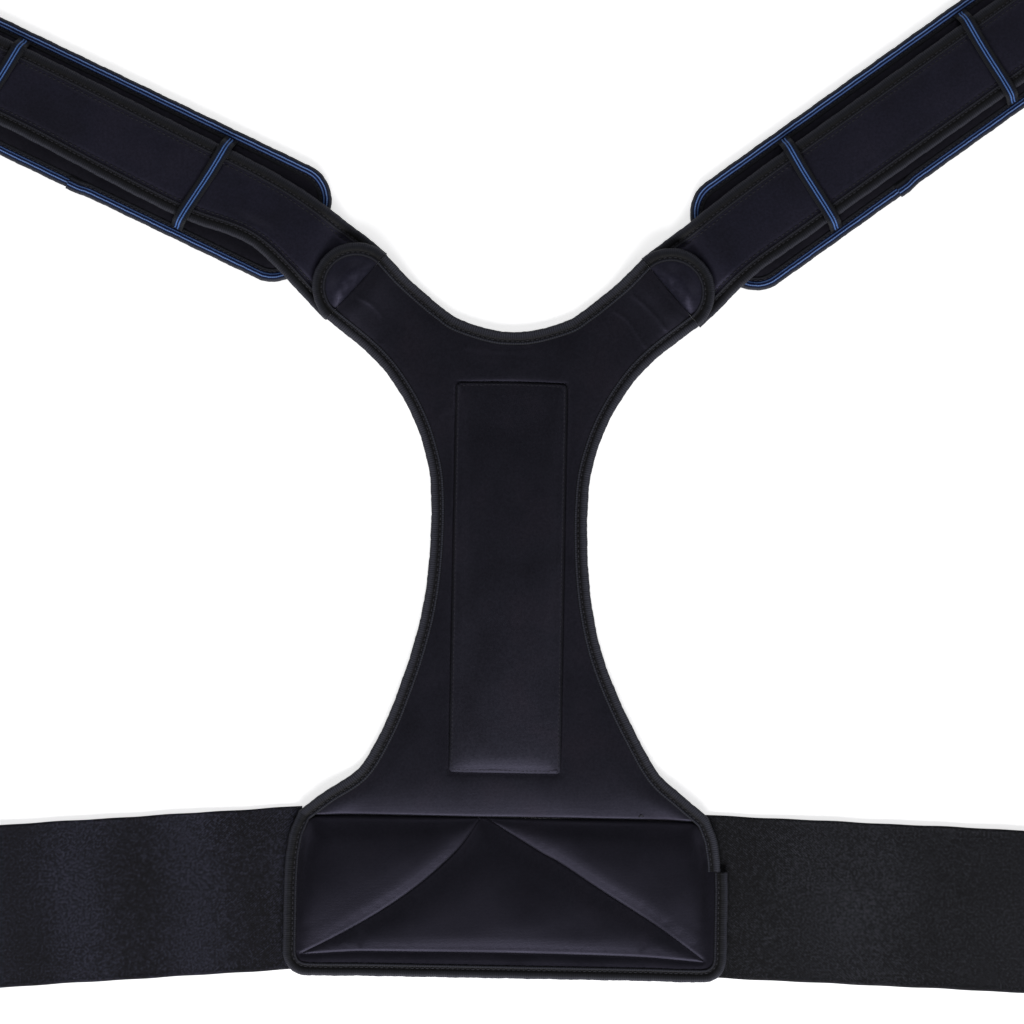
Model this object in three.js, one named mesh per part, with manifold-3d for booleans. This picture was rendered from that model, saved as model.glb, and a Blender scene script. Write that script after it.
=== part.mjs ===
import * as THREE from 'three';
import Module from 'manifold-3d';

const wasm = await Module();
wasm.setup();

// Posture corrector, lying flat with its outer side up.
// Millimetres, +Z up. z = 0 is the surface it lies on, the origin is under the centre of the
// spine pocket, +Y points to the neck and +X to the right strap.

// Back panel
const panelThick = 4;
const waistHeight = 32;
const waistHalfWidth = 47.6;
const hipHalfWidth = 124.7;
const hipDrop = 143.4;
const seamDrop = 145.8;
const neckHeight = 150.3;
const seamRollReach = 26;
const hipSway = 2.4;

// Arms and their D-shaped tabs
const tabCentreX = 95.5;
const tabCentreY = 175.7;
const tabRadius = 26.8;
const armAngle = 41.5;
const armRampLength = 34;
const tabCrown = 4.8;
const tabRise = 2.4;

// Spine pocket
const pocketWidth = 67.7;
const pocketLength = 236.6;
const pocketThick = 2.8;

// Lumbar pad
const lumbarHalfWidth = 133;
const lumbarHeight = 97.9;
const lumbarCorner = 11;
const lumbarCrown = 8.5;
const lumbarSeamHeight = 3.6;
const lumbarStep = 4.2;
const lumbarStepDrop = 30.5;

// Edge tape: a folded tape that grips each edge, with a gap between tape and edge
const tapeWidth = 8;
const stripedTapeWidth = 8.4;
const tapeWall = 0.7;
const edgeThick = 2;
const gap = 0.3;

// Shoulder straps
const strapWidth = 51;
const strapRootWidth = 55;
const strapTaper = 40;
const strapThick = 3.4;
const strapLength = 450;
const strapCorner = 14;

// Shoulder pads and the loops on them
const padLength = 280;
const padWidth = 76;
const padThick = 5;
const padCorner = 23;
const padEdgeSlope = 12;
const loopWidth = 8;
const loopThick = 1.2;
const strapRampLength = 17;

// Waist belts. beltTuck is how far a belt's end lies under the lumbar pad, beltSkew how much further
// one corner of it reaches because the belt lies at an angle.
const beltWidth = 99;
const beltThick = 1.8;
const beltReach = 500;
const beltTuck = 14;
const beltSkew = 7;

// Hook tape at the free ends
const hookThick = 1.6;
const hookLength = 60;
const hookMargin = 5;

// How each side lies, in millimetres and degrees: how far the strap is shifted across the arm, its
// angle past the bend, the length of the bend, where the pad starts along the strap, where the loops
// sit along the pad and how far they lean, and how far down the belt starts and droops.
const lay = {
  left: {
    sign: -1,
    strapShift: 0,
    strapAngle: 24.6,
    bend: 112,
    padStart: 36,
    innerLoop: 74,
    outerLoop: 212,
    loopLean: 6.5,
    beltDrop: 190.2,
    beltDroop: 4.65,
  },
  right: {
    sign: 1,
    strapShift: -0.4,
    strapAngle: 36.6,
    bend: 112,
    padStart: 33.7,
    innerLoop: 71,
    outerLoop: 209,
    loopLean: -4.5,
    beltDrop: 191.3,
    beltDroop: 1.7,
  },
};

// Outline of the panel's side below the waist. fall is a share of the way from the waist down to the
// hip corner, spread a share of how much wider the hip is than the waist, and sway a share of
// hipSway, by which the panel lies to the right there.
const sideBelowWaist = [
  { fall: 1, spread: 1, sway: 0 },
  { fall: 0.93, spread: 0.8, sway: 0.2 },
  { fall: 0.849, spread: 0.565, sway: 1 },
  { fall: 0.709, spread: 0.38, sway: 0.9 },
  { fall: 0.57, spread: 0.241, sway: 0.35 },
  { fall: 0.431, spread: 0.13, sway: 0 },
  { fall: 0.292, spread: 0.056, sway: 0 },
  { fall: 0.153, spread: 0.016, sway: 0 },
  { fall: 0, spread: 0, sway: 0 },
];

// The same above the waist: rise is a share of the way up to the arm's lower joint, spread a share of
// how much further out that joint is than the waist.
const sideAboveWaist = [
  { rise: 0.179, spread: 0.009 },
  { rise: 0.278, spread: 0.032 },
  { rise: 0.377, spread: 0.08 },
  { rise: 0.476, spread: 0.144 },
  { rise: 0.575, spread: 0.233 },
  { rise: 0.674, spread: 0.346 },
  { rise: 0.773, spread: 0.49 },
  { rise: 0.869, spread: 0.681 },
  { rise: 1, spread: 1 },
];

// Neckline, from its lowest point: out and rise are shares of the way to the arm's upper joint.
const neckline = [
  { out: 0, rise: 0 },
  { out: 0.175, rise: 0.028 },
  { out: 0.425, rise: 0.161 },
  { out: 0.543, rise: 0.293 },
  { out: 0.644, rise: 0.425 },
  { out: 0.825, rise: 0.69 },
  { out: 0.903, rise: 0.822 },
  { out: 1, rise: 1 },
];

// Roll of padding above the lumbar seam: above is a share of seamRollReach, height of panelThick.
const seamRoll = [
  { above: 0, height: 0.8 },
  { above: 0.3, height: 1.3 },
  { above: 1, height: 1 },
];

// Lumbar pad's edge: down is a share of lumbarHeight, out of how far the pad is wider than the hip.
const lumbarEdge = [
  { down: 0.1, out: 0.62 },
  { down: 0.24, out: 0.9 },
  { down: 0.42, out: 1 },
  { down: 0.66, out: 1 },
];

// Quilting seams of the lumbar pad, as shares of lumbarHalfWidth and lumbarHeight.
const quiltApex = { out: -0.09, down: 0 };
const leftDiagonal = [
  { out: -0.201, down: 0.19 },
  { out: -0.34, down: 0.375 },
  { out: -0.504, down: 0.546 },
  { out: -0.7, down: 0.71 },
  { out: -0.912, down: 0.86 },
];
const rightDiagonal = [
  { out: 0.158, down: 0.2 },
  { out: 0.262, down: 0.276 },
  { out: 0.456, down: 0.444 },
  { out: 0.717, down: 0.662 },
  { out: 0.926, down: 0.86 },
];
const bottomSeam = [
  { out: -0.45, down: 0.845 },
  { out: 0, down: 0.84 },
  { out: 0.45, down: 0.845 },
];

// Quilted cell, from its seams to its middle: inward is a share of the way to the cell's centre,
// rise a share of the crown above the seams.
const quiltRings = [
  { inward: 0.12, rise: 0.55 },
  { inward: 0.34, rise: 0.92 },
];

// Worked out from the sizes above
const tapeHeight = edgeThick + 2 * (tapeWall + gap);
const edgeInset = tapeWall + gap;
const edgeTop = tapeHeight - tapeWall;
const seamY = -seamDrop;
const lumbarBottomY = seamY - lumbarHeight;
const strapRest = padThick + gap;
const tabLift = tapeHeight + gap;
const beltLift = beltThick + gap;
const liftEnd = lumbarHalfWidth - beltTuck - beltSkew;
const liftStart = liftEnd - 2 * beltTuck;

const black = { color: 0x1c1c22, roughness: 0.85, metalness: 0 };
const finishes = {
  neoprene: new THREE.MeshStandardMaterial(black),
  edgeTape: new THREE.MeshStandardMaterial({ ...black, color: 0x303036 }),
  stripedTape: new THREE.MeshStandardMaterial({ ...black, color: 0x2f5fa8 }),
  elastic: new THREE.MeshStandardMaterial({ ...black, color: 0x26262e }),
  hookTape: new THREE.MeshStandardMaterial({ ...black, color: 0x101014 }),
};

const brace = new THREE.Group();

// Puts a piece in the brace.
function add(name, geometry, finish) {
  const piece = new THREE.Mesh(geometry, finishes[finish]);
  piece.name = name;
  brace.add(piece);
}

// Value of one column of a table at a place between its rows.
function between(table, key, value, place) {
  const above = table.findIndex((row) => row[key] >= place);
  if (above < 0) {
    return table[table.length - 1][value];
  }
  if (above === 0) {
    return table[0][value];
  }
  const low = table[above - 1];
  const high = table[above];
  const share = (place - low[key]) / (high[key] - low[key]);
  return THREE.MathUtils.lerp(low[value], high[value], share);
}

// Frame in plan: origin, direction out along an arm, strap, pad or belt, and across it.
function frameAt(sign, x, y, degrees) {
  const angle = THREE.MathUtils.degToRad(degrees);
  const dir = new THREE.Vector2(sign * Math.cos(angle), Math.sin(angle));
  const across = new THREE.Vector2(-sign * Math.sin(angle), Math.cos(angle));
  return { origin: new THREE.Vector2(x, y), dir, across };
}

function pointIn(frame, along, aside) {
  return frame.origin.clone().addScaledVector(frame.dir, along).addScaledVector(frame.across, aside);
}

function alongIn(frame, x, y) {
  return new THREE.Vector2(x, y).sub(frame.origin).dot(frame.dir);
}

// Closed body from plan triangles whose corners are { x, y, top, bottom }.
function closedBody(triangles) {
  const corners = [];
  const numbers = new Map();
  const numberOf = (corner) => {
    const key = `${corner.x.toFixed(3)},${corner.y.toFixed(3)}`;
    if (!numbers.has(key)) {
      numbers.set(key, corners.length);
      corners.push(corner);
    }
    return numbers.get(key);
  };
  const faces = [];
  const edges = new Set();
  for (const [a, b, c] of triangles) {
    const turn = (b.x - a.x) * (c.y - a.y) - (b.y - a.y) * (c.x - a.x);
    const [i, j, k] = turn > 0 ? [a, b, c].map(numberOf) : [a, c, b].map(numberOf);
    if (i === j || j === k || k === i) {
      continue;
    }
    faces.push([i, j, k]);
    edges.add(`${i},${j}`);
    edges.add(`${j},${k}`);
    edges.add(`${k},${i}`);
  }
  const indices = [];
  for (const [i, j, k] of faces) {
    indices.push(2 * i, 2 * j, 2 * k);
    indices.push(2 * i + 1, 2 * k + 1, 2 * j + 1);
  }
  for (const edge of edges) {
    const [i, j] = edge.split(',').map(Number);
    if (!edges.has(`${j},${i}`)) {
      indices.push(2 * i + 1, 2 * j + 1, 2 * j);
      indices.push(2 * i + 1, 2 * j, 2 * i);
    }
  }
  const positions = corners.flatMap((c) => [c.x, c.y, c.top, c.x, c.y, c.bottom]);
  return geometryFrom(positions, indices);
}

function geometryFrom(positions, indices) {
  const geometry = new THREE.BufferGeometry();
  geometry.setAttribute('position', new THREE.Float32BufferAttribute(positions, 3));
  geometry.setIndex(indices);
  return geometry;
}

// Two plan triangles for each cell of a grid of rows.
function gridTriangles(rows) {
  const triangles = [];
  for (let r = 1; r < rows.length; r++) {
    for (let c = 1; c < rows[r].length; c++) {
      const [a, b] = [rows[r - 1][c - 1], rows[r - 1][c]];
      const [d, e] = [rows[r][c - 1], rows[r][c]];
      triangles.push([a, b, e], [a, e, d]);
    }
  }
  return triangles;
}

// Stations of a tape's outer edge with the way in at each, mitred at the corners. inside is 1 where
// the piece lies to the left of the edge and -1 to the right.
function rail(points, inside, options = {}) {
  const count = points.length;
  const stations = [];
  for (let i = 0; i < count; i++) {
    const before = options.closed ? points[(i + count - 1) % count] : points[Math.max(i - 1, 0)];
    const after = options.closed ? points[(i + 1) % count] : points[Math.min(i + 1, count - 1)];
    const come = points[i].clone().sub(before).normalize();
    const go = after.clone().sub(points[i]).normalize();
    const first = come.lengthSq() > 0 ? come : go;
    const second = go.lengthSq() > 0 ? go : come;
    const inFirst = new THREE.Vector2(-first.y, first.x).multiplyScalar(inside);
    const inSecond = new THREE.Vector2(-second.y, second.x).multiplyScalar(inside);
    const inward = inFirst.clone().add(inSecond).normalize();
    inward.divideScalar(inward.dot(inFirst));
    stations.push({ at: points[i], inward, ahead: second });
  }
  if (options.startIn) {
    squareOff(stations[0], options.startIn);
  }
  if (options.endIn) {
    squareOff(stations[count - 1], options.endIn);
  }
  return stations;
}

// Turns the end of a tape so that it is cut along a given line, at the tape's full width.
function squareOff(station, line) {
  const square = station.inward.clone().normalize();
  station.inward = line.clone().divideScalar(line.dot(square));
}

function insetPoints(points, inside, distance) {
  return rail(points, inside).map((s) => s.at.clone().addScaledVector(s.inward, distance));
}

// Sweeps a section of [inwards, up] pairs along a rail, at the height that lift gives in plan.
function sweep(stations, section, lift, closed = false) {
  const positions = [];
  for (const station of stations) {
    for (const [inwards, up] of section) {
      const place = station.at.clone().addScaledVector(station.inward, inwards);
      positions.push(place.x, place.y, up + lift(place.x, place.y));
    }
  }
  const sides = section.length;
  const indices = [];
  const spans = closed ? stations.length : stations.length - 1;
  for (let i = 0; i < spans; i++) {
    const here = i * sides;
    const next = ((i + 1) % stations.length) * sides;
    for (let k = 0; k < sides; k++) {
      const m = (k + 1) % sides;
      indices.push(here + k, here + m, next + m, here + k, next + m, next + k);
    }
  }
  if (!closed) {
    const outline = section.map(([inwards, up]) => new THREE.Vector2(inwards, up));
    const last = (stations.length - 1) * sides;
    for (const [a, b, c] of THREE.ShapeUtils.triangulateShape(outline, [])) {
      indices.push(a, c, b);
      indices.push(last + a, last + b, last + c);
    }
  }
  return facingOut(geometryFrom(positions, indices));
}

// Turns the faces of a closed body outwards.
function facingOut(geometry) {
  const position = geometry.getAttribute('position');
  const index = geometry.getIndex();
  const [a, b, c] = [new THREE.Vector3(), new THREE.Vector3(), new THREE.Vector3()];
  let volume = 0;
  for (let i = 0; i < index.count; i += 3) {
    a.fromBufferAttribute(position, index.getX(i));
    b.fromBufferAttribute(position, index.getX(i + 1));
    c.fromBufferAttribute(position, index.getX(i + 2));
    volume += a.dot(b.cross(c));
  }
  if (volume < 0) {
    geometry.setIndex(Array.from(index.array).reverse());
  }
  return geometry;
}

// Section of the folded tape, open on the side that takes the edge.
function tapeSection(width) {
  return [
    [0, 0],
    [width, 0],
    [width, tapeWall],
    [tapeWall, tapeWall],
    [tapeWall, tapeHeight - tapeWall],
    [width, tapeHeight - tapeWall],
    [width, tapeHeight],
    [0, tapeHeight],
  ];
}

// What a tape takes away from the piece that it grips: all but the edge inside its fold.
function tapeRoom(width) {
  const reach = width + gap;
  const low = tapeWall + gap;
  const high = tapeHeight - tapeWall - gap;
  const far = 10 * tapeHeight;
  return [
    [-reach, -far],
    [reach, -far],
    [reach, low],
    [edgeInset, low],
    [edgeInset, high],
    [reach, high],
    [reach, far],
    [-reach, far],
  ];
}

// Tape along a rail, and the room that it needs in its neighbours.
function tape(stations, width, lift, closed = false) {
  const longer = stations.map((station) => ({ ...station, at: station.at.clone() }));
  if (!closed) {
    longer[0].at.addScaledVector(longer[0].ahead, -gap);
    longer[longer.length - 1].at.addScaledVector(longer[longer.length - 1].ahead, gap);
  }
  const body = sweep(stations, tapeSection(width), lift, closed);
  const room = sweep(longer, tapeRoom(width), lift, closed);
  return { body, room };
}

function solidOf(geometry) {
  const vertProperties = new Float32Array(geometry.getAttribute('position').array);
  const triVerts = new Uint32Array(geometry.getIndex().array);
  const mesh = new wasm.Mesh({ numProp: 3, vertProperties, triVerts });
  mesh.merge();
  return new wasm.Manifold(mesh);
}

// Cuts the room of other pieces out of a piece.
function cut(geometry, rooms) {
  let solid = solidOf(geometry);
  for (const room of rooms) {
    solid = solid.subtract(solidOf(room));
  }
  const mesh = solid.getMesh();
  return geometryFrom(Array.from(mesh.vertProperties), Array.from(mesh.triVerts));
}

// Belt on each side, flat on the surface, its inner end tucked under the lumbar pad.
function beltFrame(side) {
  const tuckX = side.sign * (lumbarHalfWidth - beltTuck);
  return frameAt(side.sign, tuckX, -side.beltDrop, -side.beltDroop);
}

function beltLength(side) {
  const droop = THREE.MathUtils.degToRad(side.beltDroop);
  return (beltReach - lumbarHalfWidth + beltTuck) / Math.cos(droop);
}

function slab(frame, from, to, width, bottom, top) {
  const rows = [from, to].map((along) => [-width / 2, width / 2].map((aside) => {
    const place = pointIn(frame, along, aside);
    return { x: place.x, y: place.y, top, bottom };
  }));
  return closedBody(gridTriangles(rows));
}

const beltRooms = [];
for (const [name, side] of Object.entries(lay)) {
  const frame = beltFrame(side);
  const length = beltLength(side);
  add(`waist_belt_${name}`, slab(frame, 0, length, beltWidth, 0, beltThick), 'elastic');
  const hookFrom = length - hookMargin - hookLength;
  const hookWidth = beltWidth - 2 * hookMargin;
  const hookTop = beltLift + hookThick;
  const hook = slab(frame, hookFrom, length - hookMargin, hookWidth, beltLift, hookTop);
  add(`belt_end_${name}`, hook, 'hookTape');
  beltRooms.push(slab(frame, -gap, length, beltWidth + 2 * gap, -beltThick, beltLift));
}

// Height of the pieces above the belts' inner ends.
function hipLift(x, y) {
  const lift = beltLift * THREE.MathUtils.smoothstep(Math.abs(x), liftStart, liftEnd);
  return y < 0 ? lift : 0;
}

// Height of the panel: its arms rise onto the straps, and its tabs rise on with them.
function panelLift(x, y) {
  const sign = x < 0 ? -1 : 1;
  const along = alongIn(frameAt(sign, sign * tabCentreX, tabCentreY, armAngle), x, y);
  const rise = tabLift * THREE.MathUtils.smoothstep(along, -armRampLength, -gap);
  const onTab = (tabRise * Math.max(along, 0)) / tabRadius;
  return y < 0 ? hipLift(x, y) : rise + onTab;
}

const armFrames = {
  left: frameAt(-1, -tabCentreX, tabCentreY, armAngle),
  right: frameAt(1, tabCentreX, tabCentreY, armAngle),
};

// Outer edge of the tape down the panel's side, from the hip to the arm's lower joint. Both sides
// have +X outwards here, and the left one is mirrored where it is used.
const rightArm = armFrames.right;
const lowerJoint = pointIn(rightArm, -gap / 2, -tabRadius);
const upperJoint = pointIn(rightArm, -gap / 2, tabRadius);
const sideKnots = (sign) => [
  ...sideBelowWaist.map(({ fall, spread, sway }) => new THREE.Vector2(
    waistHalfWidth + spread * (hipHalfWidth - waistHalfWidth) + sign * sway * hipSway,
    waistHeight - fall * (waistHeight + hipDrop),
  )),
  ...sideAboveWaist.map(({ rise, spread }) => new THREE.Vector2(
    waistHalfWidth + spread * (lowerJoint.x - waistHalfWidth),
    waistHeight + rise * (lowerJoint.y - waistHeight),
  )),
];
const sideSpans = 28;
const sideOutline = (sign) => new THREE.SplineCurve(sideKnots(sign)).getSpacedPoints(sideSpans);
const rightOutline = sideOutline(1);
const leftOutline = sideOutline(-1);

// Outer edge of the neckline tape, on the right, from its lowest point to the arm's upper joint.
const neckKnots = neckline.map(({ out, rise }) => new THREE.Vector2(
  out * upperJoint.x,
  neckHeight + rise * (upperJoint.y - neckHeight),
));
const neckSpans = 9;
const mirrored = (points) => points.map((p) => new THREE.Vector2(-p.x, p.y));
const neckMirror = mirrored(neckKnots.slice(1)).reverse();
const wholeNeck = new THREE.SplineCurve([...neckMirror, ...neckKnots]).getSpacedPoints(2 * neckSpans);
const neckPoints = wholeNeck.slice(neckSpans);

// Outline of the lumbar pad's tape from a hip corner down to the middle of the bottom edge.
function lumbarOutline(sign, step) {
  const wider = lumbarHalfWidth - hipHalfWidth;
  const side = lumbarEdge.map(({ down, out }) => new THREE.Vector2(
    sign * (hipHalfWidth + out * wider + (down * lumbarHeight > lumbarStepDrop ? step : 0)),
    seamY - down * lumbarHeight,
  ));
  const cornerX = lumbarHalfWidth + step - lumbarCorner;
  const cornerY = lumbarBottomY + lumbarCorner;
  const cornerSteps = 4;
  for (let i = 0; i <= cornerSteps; i++) {
    const turn = (i / cornerSteps) * (Math.PI / 2);
    const x = sign * (cornerX + lumbarCorner * Math.cos(turn));
    side.push(new THREE.Vector2(x, cornerY - lumbarCorner * Math.sin(turn)));
  }
  for (const x of [liftEnd, (liftEnd + liftStart) / 2, liftStart]) {
    side.push(new THREE.Vector2(sign * Math.min(x, cornerX - gap), lumbarBottomY));
  }
  return side;
}

// Tapes of the panel's sides. The right one runs on round the hip down to where the lumbar tape
// starts, the left one ends at the hip.
const hipCorner = new THREE.Vector2(hipHalfWidth, -hipDrop);
const firstDown = lumbarOutline(1, 0)[0];
const hipMitre = rail([rightOutline[1], hipCorner, firstDown], -1)[1].inward.clone().normalize();
const rootLine = (frame, way) => frame.across.clone().multiplyScalar(way);

const stepY = seamY - lumbarStepDrop;
const lumbarTopRight = lumbarOutline(1, 0).filter((p) => p.y > stepY);
const stepHalfWidth = hipHalfWidth
  + between(lumbarEdge, 'down', 'out', lumbarStepDrop / lumbarHeight) * (lumbarHalfWidth - hipHalfWidth);
const rightEnd = new THREE.Vector2(stepHalfWidth, stepY + gap / 2);
const rightSide = [rightEnd, ...lumbarTopRight.reverse(), ...rightOutline];
const rightRail = rail(rightSide, 1, {
  startIn: new THREE.Vector2(-1, 0),
  endIn: rootLine(rightArm, 1),
});
const leftSide = mirrored(leftOutline);
const mirroredMitre = new THREE.Vector2(-hipMitre.x, hipMitre.y);
leftSide[0].addScaledVector(leftSide[1].clone().sub(leftSide[0]).normalize(), gap / 2);
const leftRail = rail(leftSide, -1, {
  startIn: mirroredMitre,
  endIn: rootLine(armFrames.left, 1),
});
const sideTapes = {
  left: tape(leftRail, tapeWidth, panelLift),
  right: tape(rightRail, tapeWidth, panelLift),
};
add('side_binding_left', sideTapes.left.body, 'edgeTape');
add('side_binding_right', sideTapes.right.body, 'edgeTape');

const neckRail = rail(wholeNeck, -1, {
  startIn: rootLine(armFrames.left, -1),
  endIn: rootLine(rightArm, -1),
});
const neckTape = tape(neckRail, tapeWidth, panelLift);
add('neckline_binding', neckTape.body, 'edgeTape');

// Tape round the lumbar pad, from the step on the right round the bottom to the left hip corner.
const lumbarRight = lumbarOutline(1, lumbarStep).filter((p) => p.y < stepY - tapeWall);
const lumbarStart = new THREE.Vector2(stepHalfWidth + lumbarStep, stepY - gap / 2);
const leftHip = new THREE.Vector2(-hipHalfWidth, -hipDrop);
const lumbarLeft = [leftHip, ...lumbarOutline(-1, 0)].reverse();
const downLeft = lumbarLeft[lumbarLeft.length - 2].clone().sub(leftHip).normalize();
leftHip.addScaledVector(downLeft, gap / 2);
const lumbarRail = rail([lumbarStart, ...lumbarRight, ...lumbarLeft], -1, {
  startIn: new THREE.Vector2(-1, 0),
  endIn: mirroredMitre,
});
const lumbarTape = tape(lumbarRail, tapeWidth, hipLift);
add('lumbar_binding', lumbarTape.body, 'edgeTape');

// Back panel: rows run from the side tape to the spine, fan out above the waist and follow the arms
// past the neckline.
const columnShares = [0, 0.1, 0.3, 0.62, 1];
const fanShare = 0.64;
const splitShare = 0.79;
const fanRow = Math.round(fanShare * sideSpans);
const splitRow = Math.round(splitShare * sideSpans);

function panelTop(x, y, edge) {
  const above = (y - seamY) / seamRollReach;
  const height = panelThick * between(seamRoll, 'above', 'height', above);
  return (edge ? edgeTop : height) + panelLift(x, y);
}

function panelHalfRows(sign) {
  const side = insetPoints(sign > 0 ? rightOutline : leftOutline, 1, edgeInset);
  const neck = insetPoints(neckPoints, -1, edgeInset);
  neck[0].set(0, neckHeight - edgeInset);
  side[0].y = seamY + gap / 2;
  const spine = insetPoints(rightOutline, 1, edgeInset);
  spine[0].y = side[0].y;
  const armRows = sideSpans - splitRow;
  const ends = side.map((outer, row) => {
    if (row <= fanRow) {
      return [outer, new THREE.Vector2(0, spine[row].y)];
    }
    if (row <= splitRow) {
      const share = (row - fanRow) / (splitRow - fanRow);
      return [outer, new THREE.Vector2(0, THREE.MathUtils.lerp(spine[fanRow].y, neck[0].y, share))];
    }
    const place = ((row - splitRow) / armRows) * neckSpans;
    const low = Math.min(Math.floor(place), neckSpans - 1);
    return [outer, neck[low].clone().lerp(neck[low + 1], place - low)];
  });
  return ends.map(([outer, inner], row) => columnShares.map((share) => {
    const place = outer.clone().lerp(inner, share);
    const edge = share === 0 || (share === 1 && row > splitRow);
    const x = sign * place.x;
    return { x, y: place.y, top: panelTop(x, place.y, edge), bottom: panelLift(x, place.y) };
  }));
}

const panelBlank = closedBody([
  ...gridTriangles(panelHalfRows(-1)),
  ...gridTriangles(panelHalfRows(1)),
]);
const hipRooms = [sideTapes.left.room, sideTapes.right.room, lumbarTape.room, ...beltRooms];
add('back_panel', cut(panelBlank, [...hipRooms, neckTape.room]), 'neoprene');

// Spine pocket on the panel, its top edge a little below the panel's roll at the seams.
const pocketAcross = [-1, -0.9, 0, 0.9, 1];
const pocketAlong = [-1, -0.97, -0.5, 0, 0.5, 0.97, 1];
const pocketRows = pocketAlong.map((along) => pocketAcross.map((across) => {
  const seam = Math.abs(along) === 1 || Math.abs(across) === 1;
  const bottom = panelThick + gap;
  return {
    x: (across * pocketWidth) / 2,
    y: (along * pocketLength) / 2,
    top: bottom + (seam ? 0.45 : 1) * pocketThick,
    bottom,
  };
}));
add('spine_pocket', closedBody(gridTriangles(pocketRows)), 'neoprene');

// Quilted lumbar pad: three puffed cells between the seams and a flat hem below them.
const quiltPoint = ({ out, down }) => new THREE.Vector2(
  out * lumbarHalfWidth,
  seamY - gap / 2 - down * (lumbarHeight - gap / 2),
);

function lumbarPadEdge(sign) {
  const outline = [new THREE.Vector2(sign * hipHalfWidth, -hipDrop), ...lumbarOutline(sign, 0)];
  const inset = insetPoints(outline, -sign, edgeInset);
  inset[0].y = seamY - gap / 2;
  return inset;
}

function padCell(outline, crown) {
  const middle = outline.reduce((sum, p) => sum.add(p), new THREE.Vector2());
  middle.divideScalar(outline.length);
  const rings = [{ inward: 0, rise: 0 }, ...quiltRings].map(({ inward, rise }) => {
    const ring = outline.map((p) => {
      const place = p.clone().lerp(middle, inward);
      return quiltCorner(place, rise * crown);
    });
    return [...ring, ring[0]];
  });
  const centre = quiltCorner(middle, crown);
  const last = rings[rings.length - 1];
  const cap = last.slice(1).map((corner, i) => [last[i], corner, centre]);
  return [...gridTriangles(rings), ...cap];
}

function quiltCorner(place, rise) {
  const top = lumbarSeamHeight + rise + hipLift(place.x, place.y);
  return { x: place.x, y: place.y, top, bottom: 0 };
}

const apex = quiltPoint(quiltApex);
const leftSeam = leftDiagonal.map(quiltPoint);
const rightSeam = rightDiagonal.map(quiltPoint);
const hemSeam = bottomSeam.map(quiltPoint);
const leftEdge = lumbarPadEdge(-1);
const rightEdge = lumbarPadEdge(1);
const wingEnd = lumbarEdge.length + 1;
const crown = lumbarCrown - lumbarSeamHeight;
const wingTop = (sign) => [0.33, 0.66].map((share) => new THREE.Vector2(
  THREE.MathUtils.lerp(apex.x, sign * hipHalfWidth, share),
  apex.y,
));
const leftWing = [apex, ...leftSeam, ...leftEdge.slice(0, wingEnd + 1).reverse(), ...wingTop(-1).reverse()];
const rightWing = [apex, ...wingTop(1), ...rightEdge.slice(0, wingEnd + 1), ...[...rightSeam].reverse()];
const middleCell = [apex, ...leftSeam, ...hemSeam, ...[...rightSeam].reverse()];
const hemTop = [leftSeam[leftSeam.length - 1], ...hemSeam, rightSeam[rightSeam.length - 1]];
const hemOutline = [
  ...hemTop,
  ...rightEdge.slice(wingEnd),
  ...leftEdge.slice(wingEnd).reverse(),
];
const hemFaces = THREE.ShapeUtils.triangulateShape(hemOutline, []).map((face) => (
  face.map((i) => quiltCorner(hemOutline[i], 0))
));
const lumbarBlank = closedBody([
  ...padCell(leftWing, crown),
  ...padCell(rightWing, crown),
  ...padCell(middleCell, crown),
  ...hemFaces,
]);
add('lumbar_pad', cut(lumbarBlank, hipRooms), 'neoprene');

// D-shaped tabs at the ends of the arms, on top of the straps.
const tabAlong = [0, 0.25, 0.5, 0.72, 0.88, 0.97];
const tabAcross = [-1, -0.7, 0, 0.7, 1];
for (const [name, side] of Object.entries(lay)) {
  const frame = armFrames[name];
  const steps = 8;
  const arc = [];
  for (let i = 0; i <= steps; i++) {
    const turn = Math.PI * (i / steps - 0.5);
    const along = gap / 2 + (tabRadius - gap / 2) * Math.cos(turn);
    arc.push(pointIn(frame, along, tabRadius * Math.sin(turn)));
  }
  const tabRail = rail(arc, side.sign, { startIn: frame.across, endIn: rootLine(frame, -1) });
  const tabTape = tape(tabRail, tapeWidth, panelLift);
  add(`tab_binding_${name}`, tabTape.body, 'edgeTape');

  const radius = tabRadius - edgeInset;
  const rows = tabAlong.map((share) => tabAcross.map((across) => {
    const along = share * radius + gap / 2;
    const half = radius * Math.sqrt(1 - share * share);
    const place = pointIn(frame, along, across * half);
    const puffed = Math.abs(across) < 1 && share > 0 && share < 0.9;
    const lift = panelLift(place.x, place.y);
    return { x: place.x, y: place.y, top: lift + (puffed ? tabCrown : edgeTop), bottom: lift };
  }));
  add(`strap_tab_${name}`, cut(closedBody(gridTriangles(rows)), [tabTape.room]), 'neoprene');
}

// Centre line of a strap: it leaves the tab along the arm and bends to its own angle.
function strapFrame(side, along) {
  const steps = 40;
  const place = pointIn(armFrames[side.sign < 0 ? 'left' : 'right'], gap, side.strapShift);
  const angleAt = (s) => THREE.MathUtils.lerp(
    armAngle,
    side.strapAngle,
    THREE.MathUtils.smoothstep(s, 0, side.bend),
  );
  for (let i = 0; i < steps; i++) {
    const middle = ((i + 0.5) / steps) * along;
    place.addScaledVector(frameAt(side.sign, 0, 0, angleAt(middle)).dir, along / steps);
  }
  return frameAt(side.sign, place.x, place.y, angleAt(along));
}

// A pad lies along the straight stretch of its strap.
function padFrame(side) {
  const straight = strapFrame(side, side.bend);
  const start = pointIn(straight, side.padStart - side.bend, 0);
  return frameAt(side.sign, start.x, start.y, side.strapAngle);
}

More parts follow.
